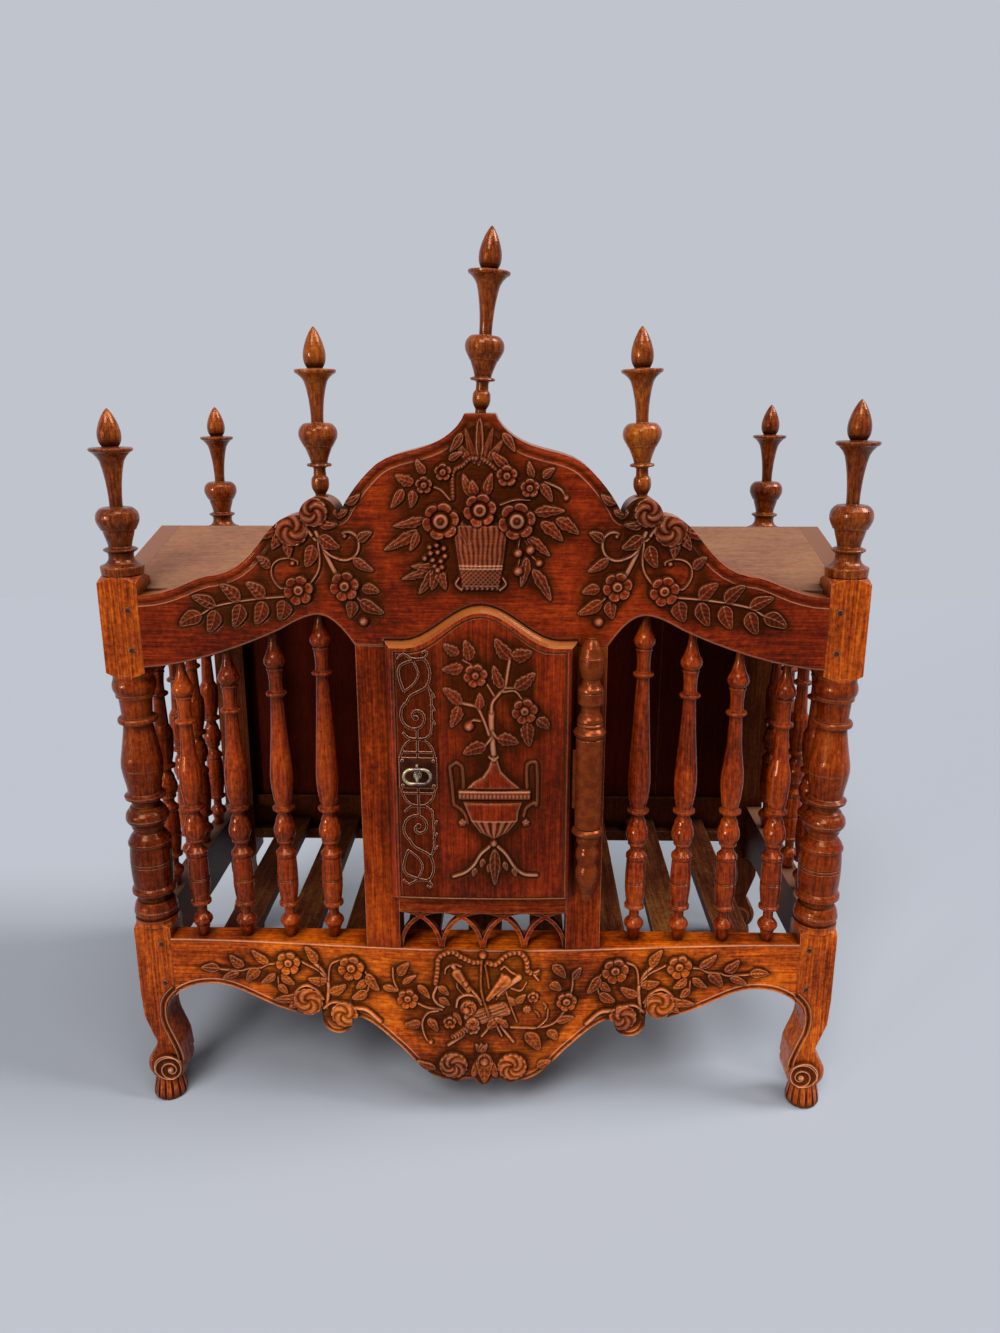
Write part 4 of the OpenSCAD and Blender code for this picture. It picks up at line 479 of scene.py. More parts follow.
    def berry(self, x, z, r, height=None):
        """A ball sunk into the wood: its height is a circle's."""
        i, px, pz = self.around(x, z, r)
        rho = np.hypot(px, pz)
        h = 0.8 + (height or 1.1 * r) * np.sqrt(np.maximum(0, 1 - np.square(rho / r)))
        # A painted highlight on the ball's middle, and painted shade towards its edge.
        self.lay(i, h, rho - r, 0.5, pale=0.45 * bell(rho, 0.45 * r), shade=0.4 * np.square(rho / r))

    def stroke(self, w, points, height=2.6, end=None, ribs=0.0, hollow=0.0, base=0.0):
        """A bar along a smooth line, half round in section, with half its width going from w to end.
        ribs is the pitch of its cross cuts, and hollow the depth of a groove along it."""
        p = smooth_line(points)
        reach = max(w, end or w) + 2
        i = self.near(p[:, 0].min() - reach, p[:, 0].max() + reach)
        x, z = self.x[i], self.z[i]
        best = np.full(x.shape, 1e9)
        along = np.zeros(x.shape)
        run = np.concatenate([[0], np.cumsum(np.hypot(*np.diff(p, axis=0).T))])
        for k in range(len(p) - 1):
            ax, az = p[k + 1] - p[k]
            size = max(ax * ax + az * az, 1e-9)
            f = np.clip(((x - p[k, 0]) * ax + (z - p[k, 1]) * az) / size, 0, 1)
            gap = np.hypot(x - p[k, 0] - f * ax, z - p[k, 1] - f * az)
            closer = gap < best
            best = np.where(closer, gap, best)
            along = np.where(closer, run[k] + f * (run[k + 1] - run[k]), along)
        half = w + ((end or w) - w) * along / run[-1]
        s = np.clip(best / half, 0, 1)
        h = base + height * (0.35 + 0.65 * np.sqrt(1 - s * s))
        if hollow:
            h = h - hollow * bell(best, 0.45 * half)
        shade = hollow * bell(best, 0.45 * half)
        if ribs:
            turn = np.cos(2 * np.pi * (along + 0.7 * best) / ribs)
            h = h * (0.72 + 0.28 * turn)
            shade = 0.5 - 0.5 * turn
        # A painted highlight along the bar's middle, and painted shade at its sides, in its groove and in its
        # cross cuts.
        self.lay(i, h, best - half, 0.7, pale=(0.6 - shade) * (1 - s) ** 0.7, shade=shade + 0.35 * s ** 3)

    def scroll(self, x, z, r, hand=1, lobes=9, height=5.0, turn=0.0):
        """A curled leaf: a ring of gadroons leaning round a boss, and on the boss a spiral ridge."""
        i, px, pz = self.around(x, z, r)
        rho, phi = np.hypot(px, pz), np.arctan2(pz, px) + turn
        lean = phi * hand + 1.1 * rho / r
        edge = r * (0.9 + 0.1 * np.sqrt(np.abs(np.cos(lobes * lean / 2))))
        u = rho / edge
        gadroon = np.sqrt(np.abs(np.cos(lobes * lean / 2)))
        swell = np.sin(np.pi * np.clip((u - 0.5) * 2, 0, 1)) ** 0.6
        ring = height * (0.35 + 0.5 * swell * (0.35 + 0.65 * gadroon))
        pitch = 0.36 * r
        ridge = 0.5 + 0.5 * np.cos(2 * np.pi * rho / pitch - phi * hand)
        boss = height * (0.5 + 0.42 * ridge) * (1 - 0.2 * u)
        eye = np.sqrt(np.maximum(0, 1 - np.square(rho / (0.17 * r))))
        boss = np.maximum(boss, height * (0.62 + 0.5 * eye) * (eye > 0))
        h = np.where(u < 0.56, boss, ring)
        # A painted highlight on the spiral ridge and the gadroons, and painted shade in the grooves between
        # them.
        self.lay(i, h, rho - edge, pale=np.where(u < 0.56, ridge ** 3, gadroon ** 4 * (u > 0.7)),
                 shade=np.where(u < 0.56, 0.8 * (1 - ridge) * (rho > 0.17 * r), 0.9 * (1 - gadroon) ** 0.7))

    def curl(self, x, z, r, hand=1, lobes=5, height=5.5, turn=0.0):
        """An acanthus end rolled up: fat lobes swirl from a scalloped border into a dark eye.
        Each lobe is a cosine of the angle plus a share of the radius, so that it leans as it runs in."""
        i, px, pz = self.around(x, z, r)
        rho, phi = np.hypot(px, pz), np.arctan2(pz, px) + turn
        lean = phi * hand + 2.6 * rho / r
        lobe = np.abs(np.cos(lobes * lean / 2)) ** 0.6
        scallop = np.abs(np.cos(1.5 * lobes * lean)) ** 0.5
        edge = r * (0.92 + 0.08 * scallop)
        u = rho / edge
        border = bell(edge - rho - 0.9, 0.6)
        swell = np.sin(np.pi * np.clip(u, 0, 1) ** 0.9) ** 0.7
        fat = (0.28 + 0.7 * swell * (0.3 + 0.7 * lobe)) * (0.6 + 0.4 * step(u * 2.5))
        crest = bell(lobe - 1, 0.12) * (u < 0.86)
        # A painted highlight on the scalloped border and the lobes' crests, and painted shade in the eye and
        # between the lobes.
        self.lay(i, height * (fat + 0.25 * border), rho - edge,
                 pale=0.7 * border * scallop + 0.22 * crest * step(u * 3),
                 shade=np.maximum(1 - step(u * 3), 0.3 + 0.7 * (1 - lobe ** 2)) * (1 - border))

    def panel(self, d, h, pale=0.0, shade=0.0):
        """Any other form, given over the whole board."""
        self.lay(slice(None), np.where(d < 0, h, 0), d, pale=pale, shade=shade)

    # Lists of forms, as their places say, or mirrored to the other side where m is -1
    def stems(self, rows, height, m=1, **more):
        for w, points in rows:
            self.stroke(w, [(m * x, z) for x, z in points], height, **more)

    def leaves(self, rows, height, m=1, bend=0.0, sway=1, **more):
        """Each leaf's bend is sway times the bend of the leaf before it."""
        for k, (bx, bz, tx, tz, w) in enumerate(rows):
            self.leaf(m * bx, bz, m * tx, tz, w, height, bend=bend * sway ** k, **more)

    def flowers(self, rows, height, m=1):
        for x, z, r, button, petals in rows:
            self.flower(m * x, z, r, button, petals, height)

    def berries(self, rows, height=None, m=1):
        for x, z, r in rows:
            self.berry(m * x, z, r, height)


def mesh_object(name, points, faces, attributes=None, flat=()):
    """A mesh object in metres from points in mm; attributes are named values for each point."""
    mesh = bpy.data.meshes.new(name)
    mesh.from_pydata((np.asarray(points) * MM).tolist(), [], faces)
    smooth = np.ones(len(mesh.polygons), bool)
    smooth[list(flat)] = False
    mesh.polygons.foreach_set("use_smooth", smooth)
    for key, value in (attributes or {}).items():
        layer = mesh.attributes.new(key, "FLOAT", "POINT")
        layer.data.foreach_set("value", np.asarray(value, np.float32).ravel())
    mesh.update()
    made = bpy.data.objects.new(name, mesh)
    bpy.context.scene.collection.objects.link(made)
    return made


def grid_faces(nu, nv, wrap_v=False):
    """Quads of a grid whose point i, j has the number i * nv + j, as a whole array."""
    i = np.arange(nu - 1)[:, None]
    j = np.arange(nv if wrap_v else nv - 1)[None, :]
    k = (j + 1) % nv
    quads = np.stack([i * nv + j, (i + 1) * nv + j, (i + 1) * nv + k, i * nv + k], -1)
    return quads.reshape(-1, 4)


def end_caps(nu, nv):
    """The two faces that close a grid wrapped round into a tube."""
    return [list(range(nv)), [(nu - 1) * nv + j for j in range(nv - 1, -1, -1)]]


def carved_objects(name, c, proud, parts=("",), back=2.5):
    """The carved face as closed shells side by side: rows from the lower edge to the upper, and behind each
    edge a skirt that goes back into the wood. y is the bowed face less its lift and the carved height.
    Attributes give each point's painted shade, in the hollows and cuts and on the wood between close forms,
    and its painted highlight on raised parts, partly for rubbing."""
    deep = np.clip((blur(c.h, 3) - c.h) / 1.7, 0, 1)
    ground_shade = np.clip(3 * blur(c.form, 14), 0, 0.92) * (1 - c.form)
    deep = 1 - (1 - deep) * (1 - 0.85 * blur(c.dark, 1)) * (1 - ground_shade)
    highlight_and_wear = np.clip((c.h - blur(c.h, 2)) / 4, 0, 0.1) + c.pale
    front = np.stack([c.x, face_y(c.x) - proud - 0.5 * (c.h + blur(c.h, 1)), c.z], -1)
    lower, upper = front[:, :1].copy(), front[:, -1:].copy()
    for row, way in ((lower, 1), (upper, -1)):
        row[..., 1] = face_y(row[..., 0]) + back
        row[..., 2] += way * 0.4
    points = np.concatenate([lower, front, upper], 1)
    pad = [(0, 0), (1, 1)]
    deep, highlight_and_wear = np.pad(deep, pad, mode="edge"), np.pad(highlight_and_wear, pad, mode="edge")
    cuts = np.linspace(0, len(points) - 1, len(parts) + 1).astype(int)
    for part, a, b in zip(parts, cuts, cuts[1:] + 1):
        nu, nv = b - a, points.shape[1]
        quads = grid_faces(nu, nv, wrap_v=True)
        faces = quads.tolist() + end_caps(nu, nv)
        j = np.arange(len(quads)) % nv
        flat = np.concatenate([np.flatnonzero((j == 0) | (j >= nv - 2)), [len(quads), len(quads) + 1]])
        yield mesh_object(name + part, points[a:b].reshape(-1, 3), faces,
                          {"recess": deep[a:b], "highlight_and_wear": highlight_and_wear[a:b]}, flat)


def crest_edges(c):
    """A rounded lip along the crest's upper edge, under it a hollow and a thin bead, and a soft lower edge.
    Each is a bump or a dip at its own distance from the edge."""
    d = edge_distance(c.x, c.z, crest_high)
    c.h -= 1.5 * (1 - step(d / 2.6)) + 0.5 * bell(d - 7.4, 1.7) - 0.75 * bell(d - 11.6, 0.95)
    # Painted shade in the hollow, and a painted highlight on the bead and along the lower edge.
    c.dark = np.maximum(c.dark, 0.85 * bell(d - 7.6, 2.4))
    c.pale = np.maximum(c.pale, 0.7 * bell(d - 11.6, 0.45))
    d = edge_distance(c.x, c.z, crest_low, 10)
    c.h -= 1 - step(d / 2.0)
    c.pale = np.maximum(c.pale, 0.4 * bell(d - 1.2, 0.7))


def scroll_pair(c, scrolls, lobes, m, reach, width, height, hand, turn):
    """Two rolled leaves side by side, and from behind the first of them notched lobes that reach out."""
    x0, z0, _ = scrolls[0]
    for x, z in lobes:
        tip = m * (x + (x - x0) * reach), z + (z - z0) * reach
        c.leaf(m * x0, z0, *tip, width, height, bend=-0.22 * m, teeth=3)
    for (x, z, r), way in zip(scrolls, (hand, -hand)):
        c.curl(m * x, z, r, -way * m, 4, 6.0, turn)


def crest_spray(c, m):
    """Half of the crest's garland, on the left where m is 1 and on the right where it is -1."""
    c.stems(CREST_SPRAY_STEMS, 2.6, m)
    c.stems(CREST_SCROLL_ARC, 4.2, m)
    c.leaves(CREST_SPRAY_LEAVES, 3.5, m, bend=-0.12 * m, sway=-1)
    c.leaves(CREST_SHOULDER_LEAVES, 4.4, m, bend=-0.2 * m, veins=3)
    scroll_pair(c, CREST_SCROLLS, CREST_SCROLL_LOBES, m, 0.25, 13, 4.6, 1, 0.6)
    c.flowers(CREST_SPRAY_FLOWERS, 5.2, m)
    c.berries(CREST_SPRAY_BERRIES, m=m)


def crest_basket(c):
    """The basket of flowers at the crest's middle."""
    c.leaves(CREST_MID_FAN, 1.8, veins=2)
    under = bell(c.x, 22) * bell(c.z - 824, 24)
    c.pale *= 1 - 0.75 * under
    c.dark = np.maximum(c.dark, 0.85 * under)
    for k in (-1, 1):
        c.stroke(1.1, [(0, 800), (3.2 * k, 815), (2.4 * k, 836), (0.6 * k, 843)], 2.0)
    for w, p in CREST_ROPE:
        c.stroke(w * 0.8, p, 2.6, ribs=3.6)
    c.stems(CREST_MID_STEMS, 2.4)
    # The basket stands from z2 to z4, with its waist at z0, and widens from the waist to its mouth
    (x0, z0), (x1, _), (x2, z2), (x3, _), (_, z4), (x5, _), (x6, _) = CREST_BASKET
    f = np.clip((c.z - z2) / (z0 - z2), 0, 1)
    g = np.clip((c.z - z0) / (z4 - z0), 0, 1)
    mid = (x2 + x3) / 2
    half = np.where(c.z < z0, (x2 - x3) / 2 + f * ((x1 - x0) - (x2 - x3)) / 2,
                    (x1 - x0) / 2 + g * ((x6 - x5) - (x1 - x0)) / 2)
    d = np.maximum(np.abs(c.x - mid) - half, np.maximum(z2 - c.z, c.z - z4))
    round_out = 2.4 * np.sqrt(np.maximum(0, 1 - np.square((c.x - mid) / np.maximum(half, 1))))
    mesh = np.maximum(np.abs(np.cos((c.x - mid + c.z) * 0.62)), np.abs(np.cos((c.x - mid - c.z) * 0.62))) ** 6
    sway = 0.3 * np.sin(c.z * 0.21 + 5 * np.round((c.x - mid) / half * 4))
    reeds = np.abs(np.cos((c.x - mid) / half * 16 + sway)) ** 0.7
    rim = bell(c.z - z0 - 0.6, 0.8) + bell(c.z - z0 + 2.6, 0.8)
    band = bell(c.z - z2 - 3.6, 0.8)
    low = c.z < z0 - 3
    body = np.where(low, 0.9 * mesh - 0.3, 1.3 * reeds - 0.5 + 1.2 * g)
    # A painted highlight on the rims, the band and the reeds, and painted shade in the mesh's holes and
    # between the reeds.
    c.panel(d, 2.0 + round_out + body + 1.5 * (rim + band),
            pale=0.9 * rim + 0.7 * band + np.where(low, 0.25 * mesh, 0.2 * reeds ** 4),
            shade=(1 - rim) * (1 - band) * np.where(low, 0.9 - 0.7 * mesh, 1.0 - 0.8 * reeds))
    c.stroke(2.4, [(x3 + 1, z2 + 1), (mid, z2 + 1), (x2 - 1, z2 + 1)], 4.4, ribs=5.4)
    c.stems(CREST_BASKET_FOOT, 3.6)
    for bx, bz, tx, tz, w in CREST_MID_LEAVES:
        c.leaf(bx, bz, tx, tz, w, 3.7, bend=0.1, teeth=3 if w > 9.55 else 0)
    c.leaves(CREST_VINE, 4.0, teeth=3)
    for x, z, r, b, n in CREST_MID_FLOWERS:
        c.flower(x, z, r, b, n, 5.0 + (r > 15) * 2.2)
    c.berries(CREST_MID_BERRIES)
    c.berries(CREST_MID_GRAPES, 4.4)


def apron_spray(c, m):
    """Half of the apron's garland, on the left where m is 1 and on the right where it is -1."""
    c.stems(APRON_SPRAY_STEMS, 2.6, m)
    c.stems(APRON_SCROLL_ARC, 4.2, m)
    c.leaves(APRON_SPRAY_LEAVES, 3.5, m, bend=-0.12 * m, sway=-1)
    scroll_pair(c, APRON_SCROLLS, APRON_SCROLL_LOBES, m, 0.15, 12, 4.4, -1, 0.9)
    c.flowers(APRON_SPRAY_FLOWERS, 5.0, m)


def apron_trophy(c):
    """The ribbon, pipes, horn and strings at the apron's middle, and the scrolls at its foot."""
    for w, p in APRON_RIBBONS:
        c.stroke(w + 0.6, p, 3.4, ribs=5.6)
    c.stems(APRON_RIBBON_TAILS, 3.0)
    strings = [(-16.5, 137), (24, 152), (29, 146), (-13, 129)]
    c.stroke(7.0, [strings[0], strings[1]], 1.6, base=0.8)
    c.stroke(5.6, [strings[3], strings[2]], 1.6, base=0.8)
    for w, p in APRON_LINES:
        c.stroke(w, p, 3.2 if w > 1.5 else 2.7)
    for w, p in APRON_HORNS:
        c.stroke(w, p, 3.8, end=w * 0.5)
    c.stems(APRON_STAFFS, 4.2, hollow=0.8)
    c.stroke(7.5, [(27, 189), (16, 176), (6, 163)], 4.2, end=3.0, hollow=0.6)
    c.stroke(6.5, [(-31, 197), (-24, 186), (-17, 174)], 4.2, end=2.6, hollow=0.6)
    for x, z, r in APRON_MID_SPIRALS:
        c.scroll(x, z, r, 1, 7, 4.8)
    c.stroke(3.6, [(-37, 109), (-28, 115), (-19, 121)], 3.6, end=4.8, ribs=4.2)
    c.leaf(6, 122, 24, 138, 10, 4.0, bend=0.2, teeth=3)
    c.leaf(30, 124, 14, 137, 8, 4.0, bend=-0.2, teeth=3)
    c.curl(-17.5, 151, 10.5, 1, 5, 5.4, 0.4)
    c.curl(-12.5, 129, 8.5, -1, 5, 5.2, 2.0)
    c.leaves(APRON_MID_LEAVES, 3.5, bend=0.12)
    c.flowers(APRON_MID_FLOWERS, 4.6)
    c.berries(APRON_MID_BERRIES)
    for (x, z, r), hand in zip(APRON_FOOT_SCROLLS, (1, -1)):
        c.curl(x, z, r, hand, 5, 6.4, 1.2)
    # The bud hangs from its base to lz, and a sprig of three leaves rises from qz to pz
    (bx, bz), (_, lz), _, (px, pz), (_, qz) = APRON_FOOT_BUD
    for k in (-1, 0, 1):
        c.leaf(px, qz - 1, px + 7 * k, pz + 2 - abs(k), 6.5, 3.4, bend=0, veins=2)
    for k in (-1, 1):
        c.leaf(bx, bz + 10, bx + k * 12, bz - 4, 10, 4.6, bend=-0.2 * k, veins=3)
        c.leaf(bx, bz, bx + k * 15, lz, 12, 5.0, bend=0.2 * k, veins=3)
    c.leaf(bx, bz + 12, bx, lz - 8, 16, 5.4, bend=0, teeth=3)
    c.berry(bx, bz + 1, 5.5, 6)


def door_vase(c):
    """The door's flowering branch, and the vase that it stands in."""
    c.stems(DOOR_STEMS, 2.8)
    c.leaves([(*places, w * 1.08) for *places, w in DOOR_LEAVES], 3.4, bend=0.1, sway=-1, teeth=4)
    c.flowers(DOOR_FLOWERS, 4.6)
    c.berries(DOOR_BERRIES)
    c.stems(VASE_HANDLES, 3.0, hollow=0.7)
    for x, z, r in VASE_HANDLE_ENDS:
        c.scroll(x, z, r, 1, 5, 3.6)
    c.stems(VASE_LEGS, 3.2)
    for x, z in VASE_LOBES:
        c.leaf(x + (3 if x < 14 else -3), z + 8, x, z - 3, 6, 3.0, bend=0, veins=2)
    (tx, tz), (ux, uz) = VASE_LEAF
    c.leaf(tx, tz, ux, uz, 11, 3.8, bend=0, veins=6)
    # The lid is plain, and the bowl below it is cut with flutes up to the line at z 401
    flute_top = 401
    (rx0, rz), (rx1, _), (_, rz1), _ = VASE_RIM
    for left, right, ribs in ((VASE_LEFT, VASE_RIGHT, 0), (VASE_BOWL_LEFT, VASE_BOWL_RIGHT, 8)):
        left, right = np.array(left)[::-1], np.array(right)[::-1]
        xl = np.interp(c.z, left[:, 1], left[:, 0])
        xr = np.interp(c.z, right[:, 1], right[:, 0])
        mid, half = (xl + xr) / 2, np.maximum((xr - xl) / 2, 0.5)
        low, high = min(left[0, 1], right[0, 1]), max(left[-1, 1], right[-1, 1])
        d = np.maximum(np.abs(c.x - mid) - half, np.maximum(low - c.z, c.z - high))
        u = np.clip((c.x - mid) / half, -1, 1)
        h = 1.4 + 3.2 * np.sqrt(1 - u * u)
        side = bell(half - np.abs(c.x - mid) - 1.0, 0.8)
        line = gap = 0.0
        if ribs:
            flute = np.abs(np.cos(ribs * np.arcsin(u))) ** 0.6
            gap = step((flute_top - c.z) / 1.5) * (1 - flute)
            line = bell(c.z - flute_top, 0.9)
            h = h * (1 - 0.4 * gap) + 0.9 * line
        # A painted highlight along the sides and the line, and painted shade in the flutes.
        c.panel(d, h, pale=0.7 * side + 0.5 * line + 0.3 * (gap > 0) * (gap < 0.2), shade=1.6 * gap + 0.15)
    mid = (rx0 + rx1) / 2
    d = np.maximum(np.abs(c.x - mid) - (rx1 - rx0) / 2, np.maximum(rz1 + 1.6 - c.z, c.z - rz))
    beads = 1.5 * np.abs(np.cos(np.pi * (c.x - mid) / 4.3)) * bell(c.z - rz1 - 6, 2.6)
    rims = bell(c.z - rz + 1.4, 1.0)
    # A painted highlight on the rims and beads, and painted shade round the beads.
    c.panel(d, 3.2 + beads + rims, pale=0.8 * rims + 0.25 * beads,
            shade=bell(c.z - rz1 - 6, 2.6) * (1 - beads / 1.5))
    c.berries(VASE_KNOP)
    c.stroke(1.6, [(9, 478), (14, 474.5), (19, 478)], 3.4)


# The scroll on each front foot: x, z and radius of its disc. Then points of the moulding that runs down to it
LEG_VOLUTE = (399.0, 48.0, 17.6)
LEG_BEAD = [(382, 160), (389, 153), (395.5, 144), (398.6, 134), (399.4, 119), (396.7, 105), (391.6, 91),
            (387, 78), (383.8, 67), (382.4, 57)]


def edge_groove(c, d):
    """The moulding at a sawn edge: at distances d a fine bead, a groove and a second bead.
    The groove gets painted shade, and the beads a painted highlight.
    """
    c.h += 0.7 * bell(d - 1.0, 0.9) - 0.7 * bell(d - 3.8, 1.3) + 0.5 * bell(d - 6.6, 0.8)
    c.dark = np.maximum(c.dark, bell(d - 3.7, 1.6))
    c.pale = np.maximum(c.pale, 0.8 * bell(d - 0.8, 0.7) + bell(d - 6.6, 0.6))


def leg_volute(c, x, z, r, hand):
    """A ridge that winds in round an eye set off the disc's middle. Its height is a bell of the distance to
    the nearest turn of an even spiral, and a rim goes round the disc."""
    px, pz = (c.x - x) * hand, c.z - z
    eye_x, eye_z, pitch = -3.6, -3.0, 8.6
    rho, phi = np.hypot(px - eye_x, pz - eye_z), np.arctan2(pz - eye_z, px - eye_x)
    turns = (r - 0.9 - rho) / pitch - (phi - 2.4) / (2 * np.pi)
    off = np.abs(turns - np.round(turns)) * pitch
    ridge = bell(off, 0.95)
    eye = np.sqrt(np.maximum(0, 1 - np.square(rho / 4.2)))
    rim = bell(r - 1.0 - np.hypot(px, pz), 0.9)
    c.h = np.maximum(np.maximum(1.9 * ridge, 1.9 * rim), 3.4 * eye) + 0.1
    # Painted shade between the ridges, and a painted highlight on the ridges, the rim and the eye.
    c.dark = np.clip(1 - ridge - rim - eye, 0, 1)
    c.pale = np.clip(ridge ** 2 + rim ** 2 + 0.6 * eye, 0, 1)


def moulding_strip(name, points, half):
    """A hollow between two beads, carried along a smooth line on the front face. v runs across from -1 to 1,
    the height is a low ground with a bell at each side, and the strip's two edges lie in the wood."""
    line = smooth_line(points, 8)
    way = np.gradient(line, axis=0)
    way /= np.hypot(*way.T)[:, None]
    side = np.stack([-way[:, 1], way[:, 0]], 1)
    v = np.linspace(-1, 1, 23)
    h = 0.25 + 1.5 * (bell(v - 0.78, 0.15) + bell(v + 0.78, 0.15))
    h[[0, -1]] = -0.8
    flat = line[:, None, :] + side[:, None, :] * (v * half)[None, :, None]
    front = np.stack([flat[..., 0], FRONT_Y - h + 0 * flat[..., 0], flat[..., 1]], -1)
    n, m = front.shape[:2]
    quads = grid_faces(n, m, wrap_v=True)
    ends = end_caps(n, m)
    # Painted shade in the hollow, and a painted highlight on the beads.
    dark = np.tile(bell(v, 0.5), (n, 1))
    pale = np.tile(bell(np.abs(v) - 0.78, 0.2), (n, 1))
    shading = {"recess": dark, "highlight_and_wear": 0.7 * pale}
    flat_ends = [len(quads), len(quads) + 1]
    return mesh_object(name, front.reshape(-1, 3), quads.tolist() + ends, shading, flat_ends)


# Materials
def colour(code):
    """A colour of sRGB hex digits as linear light, with full cover."""
    c = [int(code[k:k + 2], 16) / 255 for k in (1, 3, 5)]
    return [v / 12.92 if v <= 0.04045 else ((v + 0.055) / 1.055) ** 2.4 for v in c] + [1.0]


def add(tree, kind, inputs=None, out=0, stops=(), **settings):
    """Adds one shader node and gives one of its outputs. inputs are its sockets, by name or number:
    a value sets one, another node's output joins it. stops are the places and colours of a ramp."""
    made = tree.nodes.new("ShaderNode" + kind)
    for key, value in settings.items():
        setattr(made, key, value)
    while stops and len(made.color_ramp.elements) < len(stops):
        made.color_ramp.elements.new(0.5)
    for k, (place, tint) in enumerate(stops):
        made.color_ramp.elements[k].position = place
        made.color_ramp.elements[k].color = tint
    for key, value in (inputs or {}).items():
        if isinstance(value, bpy.types.NodeSocket):
            tree.links.new(made.inputs[key], value)
        else:
            made.inputs[key].default_value = value
    return made.outputs[out] if made.outputs else made


def mixed(tree, share, under, over):
    """One colour laid over another. share is how much of the upper one shows."""
    return add(tree, "Mix", {0: share, 6: under, 7: over}, data_type="RGBA", out=2)


def maths(tree, operation, *values, **more):
    """A sum, product or the like of values and outputs."""
    return add(tree, "Math", dict(enumerate(values)), operation=operation, **more)


def new_material(name):
    """A material with an empty tree, and the tree."""
    made = bpy.data.materials.new(name)
    made.use_nodes = True
    made.node_tree.nodes.clear()
    return made, made.node_tree


def grain(axis, along, across):
    """How many times a metre a pattern repeats on each axis, drawn out along the wood's grain."""
    return [along if a == axis else across for a in "xyz"]


def shades(wood, reach=1.0):
    """Four tones of one colour, from dark to pale, as the stops of a ramp: shares of its light, which are
    yellower where paler. reach is how far they spread."""
    shares = ((0.3, 0.22, 0.4), (0.74, 0.68, 0.8), (1.25, 1.4, 1.2), (1.9, 2.8, 1.8))
    return [(place, [min(1.0, c * f ** reach) for c, f in zip(wood, row)] + [1.0])
            for place, row in zip((0.4, 0.47, 0.53, 0.61), shares)]


